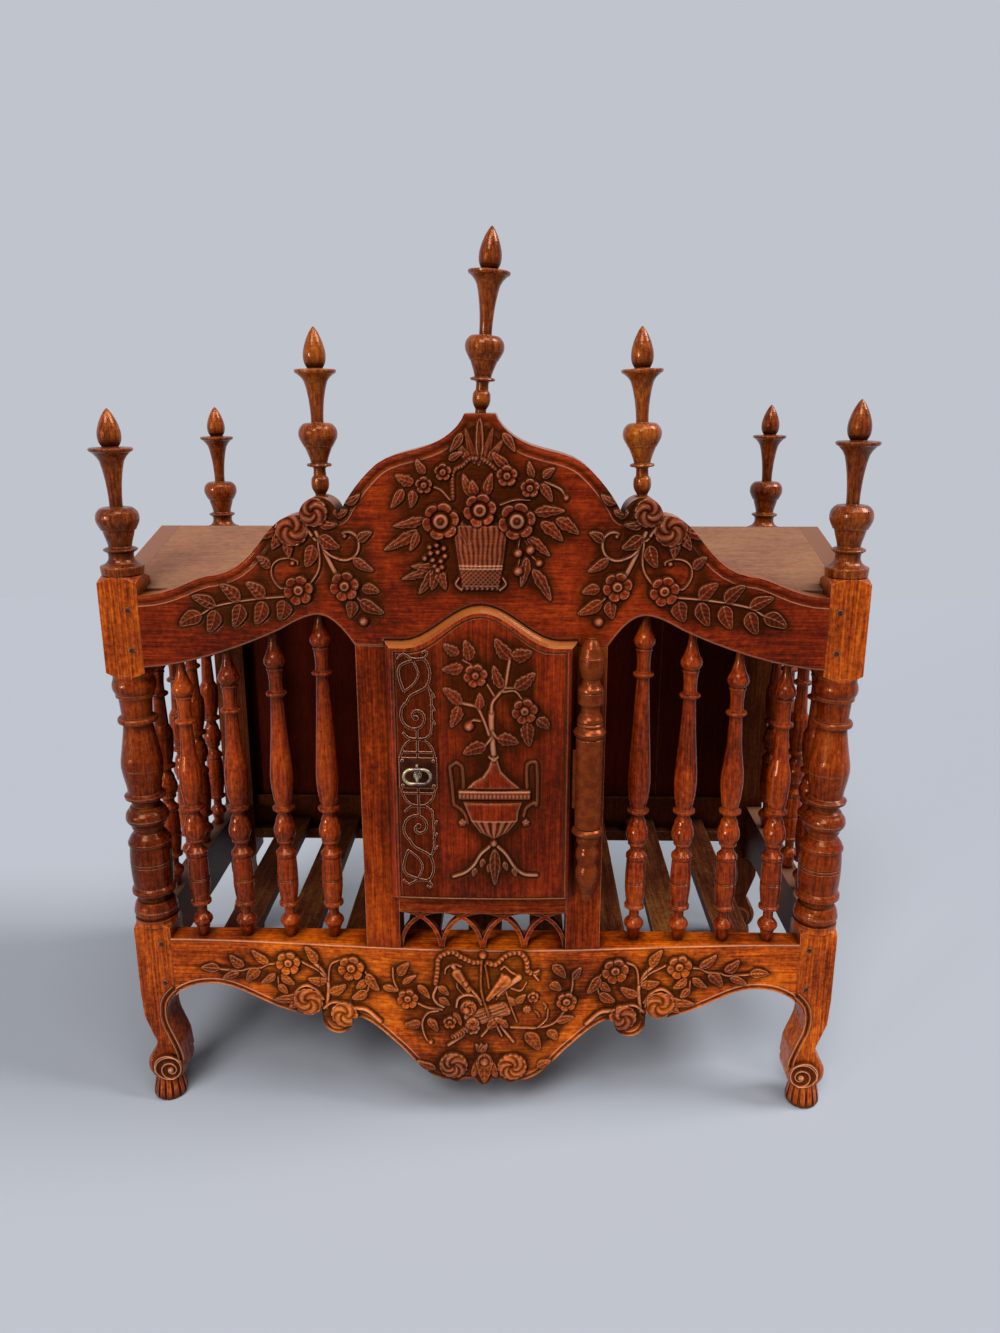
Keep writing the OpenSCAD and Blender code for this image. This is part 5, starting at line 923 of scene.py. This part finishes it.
def walnut(name, wood, axis, pore_and_shade="#0C0200", highlight_tone="#DCA27C", carved=False, rough=0.38, coat=0.06,
           hollow_shade=0.9, highlight_and_wear_share=0.8, level=0.238, reach=1.15, lid=None, lid_from=0.9, patch=None, blocks=None):
    """Walnut planed, carved or turned, stained and French polished.
    Growth rings 9 mm apart, streaks 2.4 mm apart and pores of 0.7 mm, all drawn out along the axis, give the
    grain. Painted shade lies dark in the hollows, in the pores' dark colour, and the raised edges get a
    painted highlight that partly stands for rubbing by hands.
    The polish is orange, so that its broad shine is golden, with a thin clear coat for the small lights.
    lid is the colour of faces that look up by more than lid_from: on the crest's and the door's boards a
    painted highlight of the light from above, on the side rails a paler tone on their tops.
    patch is the colour of unpolished spots 30 mm across, and blocks that of the posts' square ends."""
    made, tree = new_material(name)
    place = add(tree, "TexCoord", out="Object")
    along = add(tree, "Mapping", {"Vector": place, "Scale": grain(axis, 8, 110)})
    ring = add(tree, "TexNoise", {"Vector": along, "Scale": 1.0, "Detail": 4.0, "Roughness": 0.6,
                                  "Distortion": 0.7})
    along = add(tree, "Mapping", {"Vector": place, "Scale": grain(axis, 14, 420)})
    streak = add(tree, "TexNoise", {"Vector": along, "Scale": 1.0, "Detail": 3.0, "Roughness": 0.6})
    along = add(tree, "Mapping", {"Vector": place, "Scale": grain(axis, 70, 1500)})
    pore = add(tree, "TexNoise", {"Vector": along, "Scale": 1.0, "Detail": 2.0})
    cloud = add(tree, "TexNoise", {"Vector": place, "Scale": 8.0, "Detail": 3.0})
    mottle = add(tree, "TexNoise", {"Vector": place, "Scale": 160.0, "Detail": 3.0, "Roughness": 0.7})
    tone = maths(tree, "MULTIPLY", cloud, 0.34)
    for pattern, share in ((streak, 0.3), (mottle, 0.24), (ring, 0.12)):
        tone = maths(tree, "MULTIPLY_ADD", pattern, share, tone)
    tint = add(tree, "ValToRGB", {"Fac": tone}, stops=shades(wood, reach))
    if patch:
        spots = add(tree, "TexNoise", {"Vector": place, "Scale": 34.0, "Detail": 4.0, "Roughness": 0.7})
        spots = add(tree, "MapRange", {"Value": spots, "From Min": 0.52, "From Max": 0.72, "To Max": 0.8})
        tint = mixed(tree, spots, tint, colour(patch))
    if blocks:
        low, high = FLOOR_H + 20, CAGE_TOP - 14
        off = add(tree, "SeparateXYZ", {0: place}, out="Z")
        off = maths(tree, "SUBTRACT", off, (low + high) / 2 * MM)
        off = maths(tree, "ABSOLUTE", off)
        off = add(tree, "MapRange", {"Value": off, "From Min": (high - low - 4) / 2 * MM,
                                     "From Max": (high - low + 4) / 2 * MM})
        square = add(tree, "ValToRGB", {"Fac": tone}, stops=shades(blocks, reach))
        tint = mixed(tree, off, tint, square)
    lines = add(tree, "MapRange", {"Value": pore, "From Min": 0.5, "From Max": 0.3, "To Max": 0.55})
    tint = mixed(tree, lines, tint, colour(pore_and_shade))
    # Painted shade in the hollows, from ambient occlusion
    near = add(tree, "AmbientOcclusion", {"Distance": 0.02}, out="AO", samples=6)
    deep = add(tree, "MapRange", {"Value": near, "From Min": 0.97, "From Max": 0.42})
    if carved:
        # On carving the recess attribute adds its painted shade, and the other attribute gives the painted
        # highlight
        cut = add(tree, "Attribute", attribute_name="recess", out="Fac")
        deep = maths(tree, "MAXIMUM", deep, cut)
        edge = add(tree, "Attribute", attribute_name="highlight_and_wear", out="Fac")
        normal = add(tree, "NewGeometry", out="Normal")
    else:
        # On planed wood, edges that the bevel rounds get the painted highlight, partly for rubbing
        normal = add(tree, "Bevel", {"Radius": 0.0011}, samples=4)
        face = add(tree, "NewGeometry", out="Normal")
        edge = add(tree, "VectorMath", {0: normal, 1: face}, operation="DOT_PRODUCT", out="Value")
        edge = add(tree, "MapRange", {"Value": edge, "From Min": 0.995, "From Max": 0.86})
        # Faces that look up take the lid colour, on the crest's and door's boards a painted highlight
        if lid:
            up = add(tree, "SeparateXYZ", {0: face}, out="Z")
            up = add(tree, "MapRange", {"Value": up, "From Min": lid_from, "From Max": 0.5 + lid_from / 2})
            tint = mixed(tree, up, tint, (*lid[:3], 1.0))
    # Painted shade mixed in, then the painted highlight on raised edges, partly for rubbing
    shade = maths(tree, "MULTIPLY", deep, hollow_shade)
    tint = mixed(tree, shade, tint, colour(pore_and_shade))
    highlight_mix = maths(tree, "SUBTRACT", 1.0, deep, use_clamp=True)
    highlight_mix = maths(tree, "MULTIPLY", highlight_mix, edge, use_clamp=True)
    highlight_mix = maths(tree, "MULTIPLY", highlight_mix, highlight_and_wear_share)
    tint = mixed(tree, highlight_mix, tint, colour(highlight_tone))
    dull = maths(tree, "MULTIPLY_ADD", cloud, 0.2, rough - 0.1)
    dull = maths(tree, "MULTIPLY_ADD", deep, 0.3, dull, use_clamp=True)
    relief = add(tree, "Bump", {"Height": pore, "Strength": 0.3, "Distance": 0.0005, "Normal": normal})
    relief = add(tree, "Bump", {"Height": ring, "Strength": 0.2, "Distance": 0.001, "Normal": relief})
    film = add(tree, "MapRange", {"Value": deep, "To Min": coat, "To Max": 0.0})
    shader = add(tree, "BsdfPrincipled", {"Base Color": tint, "Roughness": dull, "Normal": relief,
                                          "Specular IOR Level": level, "Specular Tint": colour("#FF9A4A"),
                                          "Coat Weight": film, "Coat Roughness": 0.06})
    add(tree, "OutputMaterial", {"Surface": shader})
    return made


def forged(name, metal, highlight_and_wear="#B59C86", rough=0.4, metallic=0.5, reach=0.8, edge=0.0007):
    """Iron or brass forged and filed by hand, with an old brown skin: blotches 11 mm across, pits of 1 mm,
    edges painted pale for bright metal and a painted highlight, and painted shade in the hollows."""
    made, tree = new_material(name)
    place = add(tree, "TexCoord", out="Object")
    blot = add(tree, "TexNoise", {"Vector": place, "Scale": 90.0, "Detail": 4.0, "Roughness": 0.65})
    pit = add(tree, "TexNoise", {"Vector": place, "Scale": 900.0, "Detail": 2.0})
    tint = add(tree, "ValToRGB", {"Fac": blot}, stops=shades(metal, reach))
    # Painted shade in the hollows, from ambient occlusion.
    near = add(tree, "AmbientOcclusion", {"Distance": 0.01}, out="AO", samples=6)
    deep = add(tree, "MapRange", {"Value": near, "From Min": 0.95, "From Max": 0.3, "To Max": 0.85})
    tint = mixed(tree, deep, tint, colour("#0E0402"))
    # Edges that the bevel rounds get the pale colour: bright metal where rubbing reached it, and a painted
    # highlight.
    normal = add(tree, "Bevel", {"Radius": edge}, samples=4)
    face = add(tree, "NewGeometry", out="Normal")
    turned = add(tree, "VectorMath", {0: normal, 1: face}, operation="DOT_PRODUCT", out="Value")
    turned = add(tree, "MapRange", {"Value": turned, "From Min": 0.998, "From Max": 0.9, "To Max": 0.9})
    tint = mixed(tree, turned, tint, colour(highlight_and_wear))
    dull = maths(tree, "MULTIPLY_ADD", blot, 0.3, rough - 0.15, use_clamp=True)
    relief = add(tree, "Bump", {"Height": pit, "Strength": 0.3, "Distance": 0.0004, "Normal": normal})
    relief = add(tree, "Bump", {"Height": blot, "Strength": 0.2, "Distance": 0.001, "Normal": relief})
    shader = add(tree, "BsdfPrincipled", {"Base Color": tint, "Roughness": dull, "Normal": relief,
                                          "Metallic": metallic, "Specular IOR Level": 0.3,
                                          "Specular Tint": colour("#FFC090")})
    add(tree, "OutputMaterial", {"Surface": shader})
    return made


def finish_nodes(material, names):
    """Gives CAD nodes a material in place of their own."""
    for name in names:
        slots = NODES[name].data.materials
        for k in range(len(slots)):
            slots[k] = material
        if not slots:
            slots.append(material)


def dress(piece, material, body):
    """A new piece's finish, and the body that it moves with."""
    piece.data.materials.append(material)
    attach(piece, body)
    return piece


MATERIALS = {}
QUARTERS = ("_left", "_middle_left", "_middle_right", "_right")
# How far the carved faces stay inside their boards' sawn edges
EASE = 0.2
# The door's panel: how far it lies inside the door's edge, and where it ends beside the lock plate
PANEL_IN = 12.6
PANEL_SIDE = -48.5
# The camera, solved from the photograph: metres, millimetres of a 36 mm high frame, and degrees
CAMERA_PLACE = (0.04247, -1.27139, 0.87034)
CAMERA_LENS = 27.0
CAMERA_PITCH, CAMERA_YAW, CAMERA_ROLL = 15.35, -1.17, -0.04


def tint_property(label, text, code):
    """A colour that the user may change, from its sRGB hex digits."""
    return bpy.props.FloatVectorProperty(name=label, description=text, default=colour(code)[:3], size=3,
                                         min=0.0, max=1.0, subtype="COLOR")


def amount(label, text, value, high=1.0, low=0.0, **more):
    """A number that the user may change."""
    return bpy.props.FloatProperty(name=label, description=text, default=value, min=low, max=high, **more)


class CupboardFinish(bpy.types.PropertyGroup):
    crest: tint_property("Crest and door", "Middle tone of the crest's and the door's walnut", "#6E1B05")
    apron: tint_property("Apron", "Middle tone of the apron's walnut", "#A03F09")
    posts: tint_property("Posts", "Middle tone of the front posts' turned shafts", "#661F05")
    blocks: tint_property("Blocks and legs", "Middle tone of the front posts' blocks and legs", "#983C0A")
    turned: tint_property("Spindles", "Middle tone of the spindles' walnut", "#762406")
    finials: tint_property("Finials", "Middle tone of the finials' walnut", "#74300C")
    rails: tint_property("Stiles and sill", "Middle tone of the stiles, the sill and the gallery", "#7A2606")
    rear: tint_property("Sides and rear", "Middle tone of the side rails and the rear posts", "#45180A")
    back: tint_property("Back", "Middle tone of the back's boards", "#420C06")
    roof: tint_property("Roof", "Middle tone of the roof's bare boards", "#805842")
    slats: tint_property("Slats", "Middle tone of the floor's slats", "#5A2D18")
    # A painted highlight on faces that look up, given as a tone of the walnut.
    highlight_tone: tint_property("Highlighted tops", "Tone of the walnut where dusting has thinned the polish", "#87481C")
    hinge: tint_property("Hinge", "Middle tone of the hinge's brown brass", "#6A2A0E")
    plate: tint_property("Lock plate", "Middle tone of the lock plate's brown iron", "#2E0E07")
    gloss: amount("Polish", "Weight of the polish's clear coat on the planed walnut", 0.06, subtype="FACTOR")
    # Strength of the painted shade in the hollows.
    hollow_shade: amount("Painted shade", "How dark the hollows of the carving are", 0.94, subtype="FACTOR")
    # Strength of the painted highlight on raised edges, which partly stands for rubbing.
    highlight_and_wear_share: amount("Edge wear", "How pale the raised edges are rubbed", 0.6, subtype="FACTOR")


class CupboardCarving(bpy.types.PropertyGroup):
    proud: amount("Face lift", "Height of the carved face over the board's own", 0.0008, 0.002, 0.0004,
                  unit="LENGTH")
    columns: bpy.props.IntProperty(name="Columns", default=1200, min=400, max=1400,
                                   description="Columns of points along the crest and the apron")
    bead: amount("Leg bead", "Half the width of the moulding down each leg", 0.0042, 0.006, 0.001,
                 unit="LENGTH")


class CupboardStage(bpy.types.PropertyGroup):
    backdrop: tint_property("Backdrop", "Colour seen behind the cupboard", "#C0C4CD")
    floor: tint_property("Floor", "Colour of the painted floor", "#9A9EA6")
    side: amount("Side light", "Strength of the soft light from the right", 2.8, 10.0)
    top: amount("Top light", "Strength of the soft light overhead", 1.3, 10.0)
    front: amount("Front light", "Strength of the high light from the front", 2.25, 10.0)
    low: amount("Low light", "Strength of the low light from the left", 1.4, 10.0)
    fill: amount("Room light", "Strength of the pale room round the cupboard", 0.06, 2.0)
    floor_size: amount("Floor size", "Half the floor's width", 3.0, 30.0, 1.0, unit="LENGTH")


class FinishCupboard(bpy.types.Operator):
    """Gives every part of the cupboard its wood or metal."""
    bl_idname = "cupboard.finish"
    bl_label = "Finish wood and iron"

    def execute(self, context):
        f = context.scene.cupboard_finish
        # Planed and waxed; carved and polished; turned and burnished; hardly polished at all
        kept = dict(coat=f.gloss, hollow_shade=f.hollow_shade, highlight_and_wear_share=f.highlight_and_wear_share, rough=0.3)
        cut = dict(kept, carved=True, rough=0.26, level=0.272, coat=0.1)
        turned = dict(kept, rough=0.2, coat=0.16, highlight_and_wear_share=0.15, level=0.357)
        dull = dict(coat=0.0, rough=0.5, hollow_shade=f.hollow_shade, highlight_and_wear_share=0.3, level=0.255)
        m = MATERIALS
        m["crest"] = walnut("walnut_crest_carved", f.crest, "x", **cut)
        # The crest's and the door's boards get a painted highlight on faces that look up.
        m["crest_board"] = walnut("walnut_crest_planed", f.crest, "x", lid=f.highlight_tone, lid_from=0.3, **kept)
        m["apron"] = walnut("walnut_apron_carved", f.apron, "x", **cut)
        m["apron_board"] = walnut("walnut_apron_planed", f.apron, "x", **kept)
        m["door"] = walnut("walnut_door_carved", f.crest, "z", **cut)
        m["door_board"] = walnut("walnut_door_planed", f.crest, "z", lid=f.highlight_tone, lid_from=0.25, **kept)
        m["turned"] = walnut("walnut_turned", f.turned, "z", **turned)
        m["finial"] = walnut("walnut_finial_turned", f.finials, "z", **turned)
        m["post"] = walnut("walnut_post_turned", f.posts, "z", blocks=f.blocks,
                           **dict(turned, rough=0.22, coat=0.12, highlight_and_wear_share=0.4, level=0.306))
        m["leg"] = walnut("walnut_leg_carved", f.blocks, "z", **cut)
        m["rail"] = walnut("walnut_stile_planed", f.rails, "z", **kept)
        m["sill"] = walnut("walnut_sill_planed", f.rails, "x", **kept)
        m["side_rail"] = walnut("walnut_side_rail_planed", f.rear, "y", lid=colour("#714B39"), **dull)
        m["rear"] = walnut("walnut_rear_planed", f.rear, "z", **dull)
        m["back"] = walnut("back_board_rough", f.back, "z", reach=0.5, **dict(dull, rough=0.62, level=0.1275))
        m["roof"] = walnut("roof_board_bare", f.roof, "x", pore_and_shade="#2A1A12", patch="#875643", reach=0.3,
                           **dict(dull, rough=0.62))
        m["slat"] = walnut("slat_rough", f.slats, "y", **dict(dull, rough=0.6))
        m["peg"] = walnut("peg_end_grain", f.rear, "y", coat=0.2, hollow_shade=0.5, rough=0.38)
        m["hinge"] = forged("hinge_brass_brown", f.hinge, "#9C6440", 0.26, 0.4, 0.25)
        m["plate"] = forged("plate_iron_brown", f.plate, "#F0A884", 0.36, 0.1, 0.5, 0.001)
        m["lock"] = forged("lock_iron", colour("#4A4441"), "#9A9089", 0.45, 0.85)
        m["key"] = forged("key_iron_rubbed", colour("#8A7462"), "#F0E2D2", 0.3, 0.8)
        # Which CAD nodes get each finish, by how their names start
        dressed = {"turned": ("spindle_front", "side_spindles"), "finial": ("finial",),
                   "crest_board": ("crest_rail",), "apron_board": ("apron_rail",),
                   "door_board": ("door",), "post": ("post_front",),
                   "rail": ("stile",), "sill": ("sill_rail", "gallery"),
                   "side_rail": ("side_top_rail", "side_bottom_rail"), "rear": ("post_rear", "rear_"),
                   "back": ("back_panel",), "roof": ("roof_",), "slat": ("floor_", "ridge_beam"),
                   "peg": ("joint_pegs",), "hinge": ("hinge_",), "plate": ("lock_plate", "plate_pins"),
                   "lock": ("lock_case", "lock_cover", "lock_screws", "lock_bolt"), "key": ("key",)}
        for kind, starts in dressed.items():
            finish_nodes(m[kind], sorted(n for n in NODES if n.startswith(starts)))
        return {"FINISHED"}


class CarveCrest(bpy.types.Operator):
    """Carves the crest: a garland on each side and the basket of flowers between them."""
    bl_idname = "cupboard.carve_crest"
    bl_label = "Carve crest"

    def execute(self, context):
        p = context.scene.cupboard_carving
        c = Carving(EASE - SPAN, SPAN - EASE, lambda x: crest_low(x) + EASE, lambda x: crest_high(x) - EASE,
                    p.columns, 280)
        crest_edges(c)
        crest_basket(c)
        crest_spray(c, 1)
        crest_spray(c, -1)
        for made in carved_objects("crest_carving", c, p.proud * 1000, QUARTERS):
            dress(made, MATERIALS["crest"], "cupboard")
        return {"FINISHED"}


class CarveApron(bpy.types.Operator):
    """Carves the apron: a garland on each side and the trophy between them."""
    bl_idname = "cupboard.carve_apron"
    bl_label = "Carve apron"

    def execute(self, context):
        p = context.scene.cupboard_carving
        c = Carving(EASE - SPAN, SPAN - EASE, lambda x: apron_low(x) + EASE, lambda x: 0 * x + FLOOR_H - EASE,
                    p.columns, 250)
        d = FLOOR_H - c.z
        # A painted highlight along the apron's upper arris.
        c.pale = np.maximum(c.pale, 0.8 * bell(d - 0.7, 0.7))
        c.h += 0.7 * bell(d - 1.6, 1.0) - 0.4 * bell(d - 4.2, 0.9)
        edge_groove(c, edge_distance(c.x, c.z, apron_low, 14))
        apron_trophy(c)
        apron_spray(c, 1)
        apron_spray(c, -1)
        for made in carved_objects("apron_carving", c, p.proud * 1000, QUARTERS):
            dress(made, MATERIALS["apron"], "cupboard")
        return {"FINISHED"}


class CarveDoor(bpy.types.Operator):
    """Carves the flowering vase on the door's panel, beside the lock plate."""
    bl_idname = "cupboard.carve_door"
    bl_label = "Carve door"

    def execute(self, context):
        side, low = DOOR_HALF - PANEL_IN, DOOR_LOW + 4

        def top(x):
            return door_arch(x * DOOR_HALF / (side + EASE)) - PANEL_IN

        c = Carving(-side, side, lambda x: 0 * x + low, top, 260, 380)
        c.floor = 0.0
        d = np.minimum.reduce([c.x - PANEL_SIDE, side - c.x, c.z - low, top(c.x) - c.z])
        c.h += 0.55 * step(d / 9)
        # Painted shade on the panel's end beside the lock plate.
        c.dark = np.maximum(c.dark, 0.7 * step((PANEL_SIDE + 3.5 - c.x) / 5))
        door_vase(c)
        for made in carved_objects("door_carving", c, DOOR_PROUD + 0.12, back=2.5 - DOOR_PROUD):
            dress(made, MATERIALS["door"], "door_body")
        return {"FINISHED"}


class CarveLegs(bpy.types.Operator):
    """Carves each front foot's scroll and the moulding that runs down into it."""
    bl_idname = "cupboard.carve_legs"
    bl_label = "Carve legs"

    def execute(self, context):
        p = context.scene.cupboard_carving
        for side, s in (("left", -1), ("right", 1)):
            x, z, r = LEG_VOLUTE
            x *= s
            c = Carving(x - r + 0.3, x + r - 0.3, lambda u: z - np.sqrt(r * r - np.square(u - x)),
                        lambda u: z + np.sqrt(r * r - np.square(u - x)), 110, 110)
            leg_volute(c, x, z, r, s)
            for made in carved_objects("leg_scroll_" + side, c, 3.7):
                dress(made, MATERIALS["leg"], "cupboard")
            strip = moulding_strip("leg_bead_" + side, [(s * u, v) for u, v in LEG_BEAD], p.bead * 1000)
            dress(strip, MATERIALS["leg"], "cupboard")
        return {"FINISHED"}


class SetStage(bpy.types.Operator):
    """Sets the camera at the photograph's angle, soft light and a plain pale floor."""
    bl_idname = "cupboard.stage"
    bl_label = "Set stage"

    def execute(self, context):
        s = context.scene.cupboard_stage
        scene = context.scene
        view = bpy.data.cameras.new("view")
        view.sensor_fit = "VERTICAL"
        view.sensor_height = 36.0
        view.lens = CAMERA_LENS
        camera = bpy.data.objects.new("view", view)
        scene.collection.objects.link(camera)
        camera.location = CAMERA_PLACE
        pitch, yaw, roll = (math.radians(v) for v in (CAMERA_PITCH, CAMERA_YAW, CAMERA_ROLL))
        turn = Matrix.Rotation(-yaw, 3, "Z") @ Matrix.Rotation(math.pi / 2 - pitch, 3, "X")
        camera.rotation_euler = (turn @ Matrix.Rotation(roll, 3, "Z")).to_euler("XYZ")
        scene.camera = camera

        # Soft boxes a long way off: each one's direction, its strength and how many degrees it spans
        for name, place, strength, angle in (("side_light", (1.0, -0.03, 1.0), s.side, 24),
                                             ("top_light", (0.2, -0.38, 1.0), s.top, 26),
                                             ("front_light", (-0.3, -1.0, 1.1), s.front, 24),
                                             ("low_light", (-1.0, -1.0, 0.15), s.low, 10)):
            lamp = bpy.data.lights.new(name, "SUN")
            lamp.energy = strength
            lamp.angle = math.radians(angle)
            holder = bpy.data.objects.new(name, lamp)
            scene.collection.objects.link(holder)
            holder.rotation_euler = Vector(place).to_track_quat("Z", "Y").to_euler()

        world = bpy.data.worlds.new("studio")
        scene.world = world
        world.use_nodes = True
        tree = world.node_tree
        tree.nodes.clear()
        seen = add(tree, "LightPath", out="Is Camera Ray")
        for kind in ("Is Glossy Ray", "Is Transmission Ray"):
            ray = add(tree, "LightPath", out=kind)
            seen = maths(tree, "MAXIMUM", seen, ray)
        fill = add(tree, "Background", {"Color": colour("#F2F4FA"), "Strength": s.fill})
        back = add(tree, "Background", {"Color": (*s.backdrop, 1.0), "Strength": 1.0})
        both = add(tree, "MixShader", {0: seen, 1: fill, 2: back})
        add(tree, "OutputWorld", {"Surface": both})

        n = 60
        u = np.linspace(-1, 1, n)
        gx, gy = np.meshgrid(u * s.floor_size, u * s.floor_size, indexing="ij")
        floor = mesh_object("floor", np.stack([gx, gy, 0 * gx], -1).reshape(-1, 3) * 1000,
                            grid_faces(n, n).tolist())
        made, tree = new_material("floor_painted")
        matt = add(tree, "BsdfDiffuse", {"Color": (*s.floor, 1.0)})
        add(tree, "OutputMaterial", {"Surface": matt})
        floor.data.materials.append(made)
        scene.view_settings.view_transform = "Standard"
        return {"FINISHED"}


class CupboardPanel(bpy.types.Panel):
    """The cupboard's operators and their sizes and colours."""
    bl_idname = "VIEW3D_PT_bread_cupboard"
    bl_label = "Bread cupboard"
    bl_space_type = "VIEW_3D"
    bl_region_type = "UI"
    bl_category = "Bread Cupboard"

    def draw(self, context):
        for group, steps in GROUPS:
            box = self.layout.box()
            settings = getattr(context.scene, group)
            for key in settings.__annotations__:
                box.prop(settings, key)
            for made in steps:
                box.operator(made.bl_idname)


GROUPS = [("cupboard_stage", [SetStage]), ("cupboard_finish", [FinishCupboard]),
          ("cupboard_carving", [CarveCrest, CarveApron, CarveDoor, CarveLegs])]
SETTINGS = [("cupboard_finish", CupboardFinish), ("cupboard_carving", CupboardCarving),
            ("cupboard_stage", CupboardStage)]
STEPS = [step_class for _, steps in GROUPS for step_class in steps]
CLASSES = [made for _, made in SETTINGS] + STEPS + [CupboardPanel]


def register():
    for made in CLASSES:
        bpy.utils.register_class(made)
    for key, made in SETTINGS:
        setattr(bpy.types.Scene, key, bpy.props.PointerProperty(type=made))


def unregister():
    for key, made in SETTINGS:
        delattr(bpy.types.Scene, key)
    for made in reversed(CLASSES):
        bpy.utils.unregister_class(made)


def main():
    register()
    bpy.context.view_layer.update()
    bpy.ops.cupboard.stage()
    bpy.ops.cupboard.finish()
    bpy.ops.cupboard.carve_crest()
    bpy.ops.cupboard.carve_apron()
    bpy.ops.cupboard.carve_door()
    bpy.ops.cupboard.carve_legs()


if __name__ == "__main__":
    main()
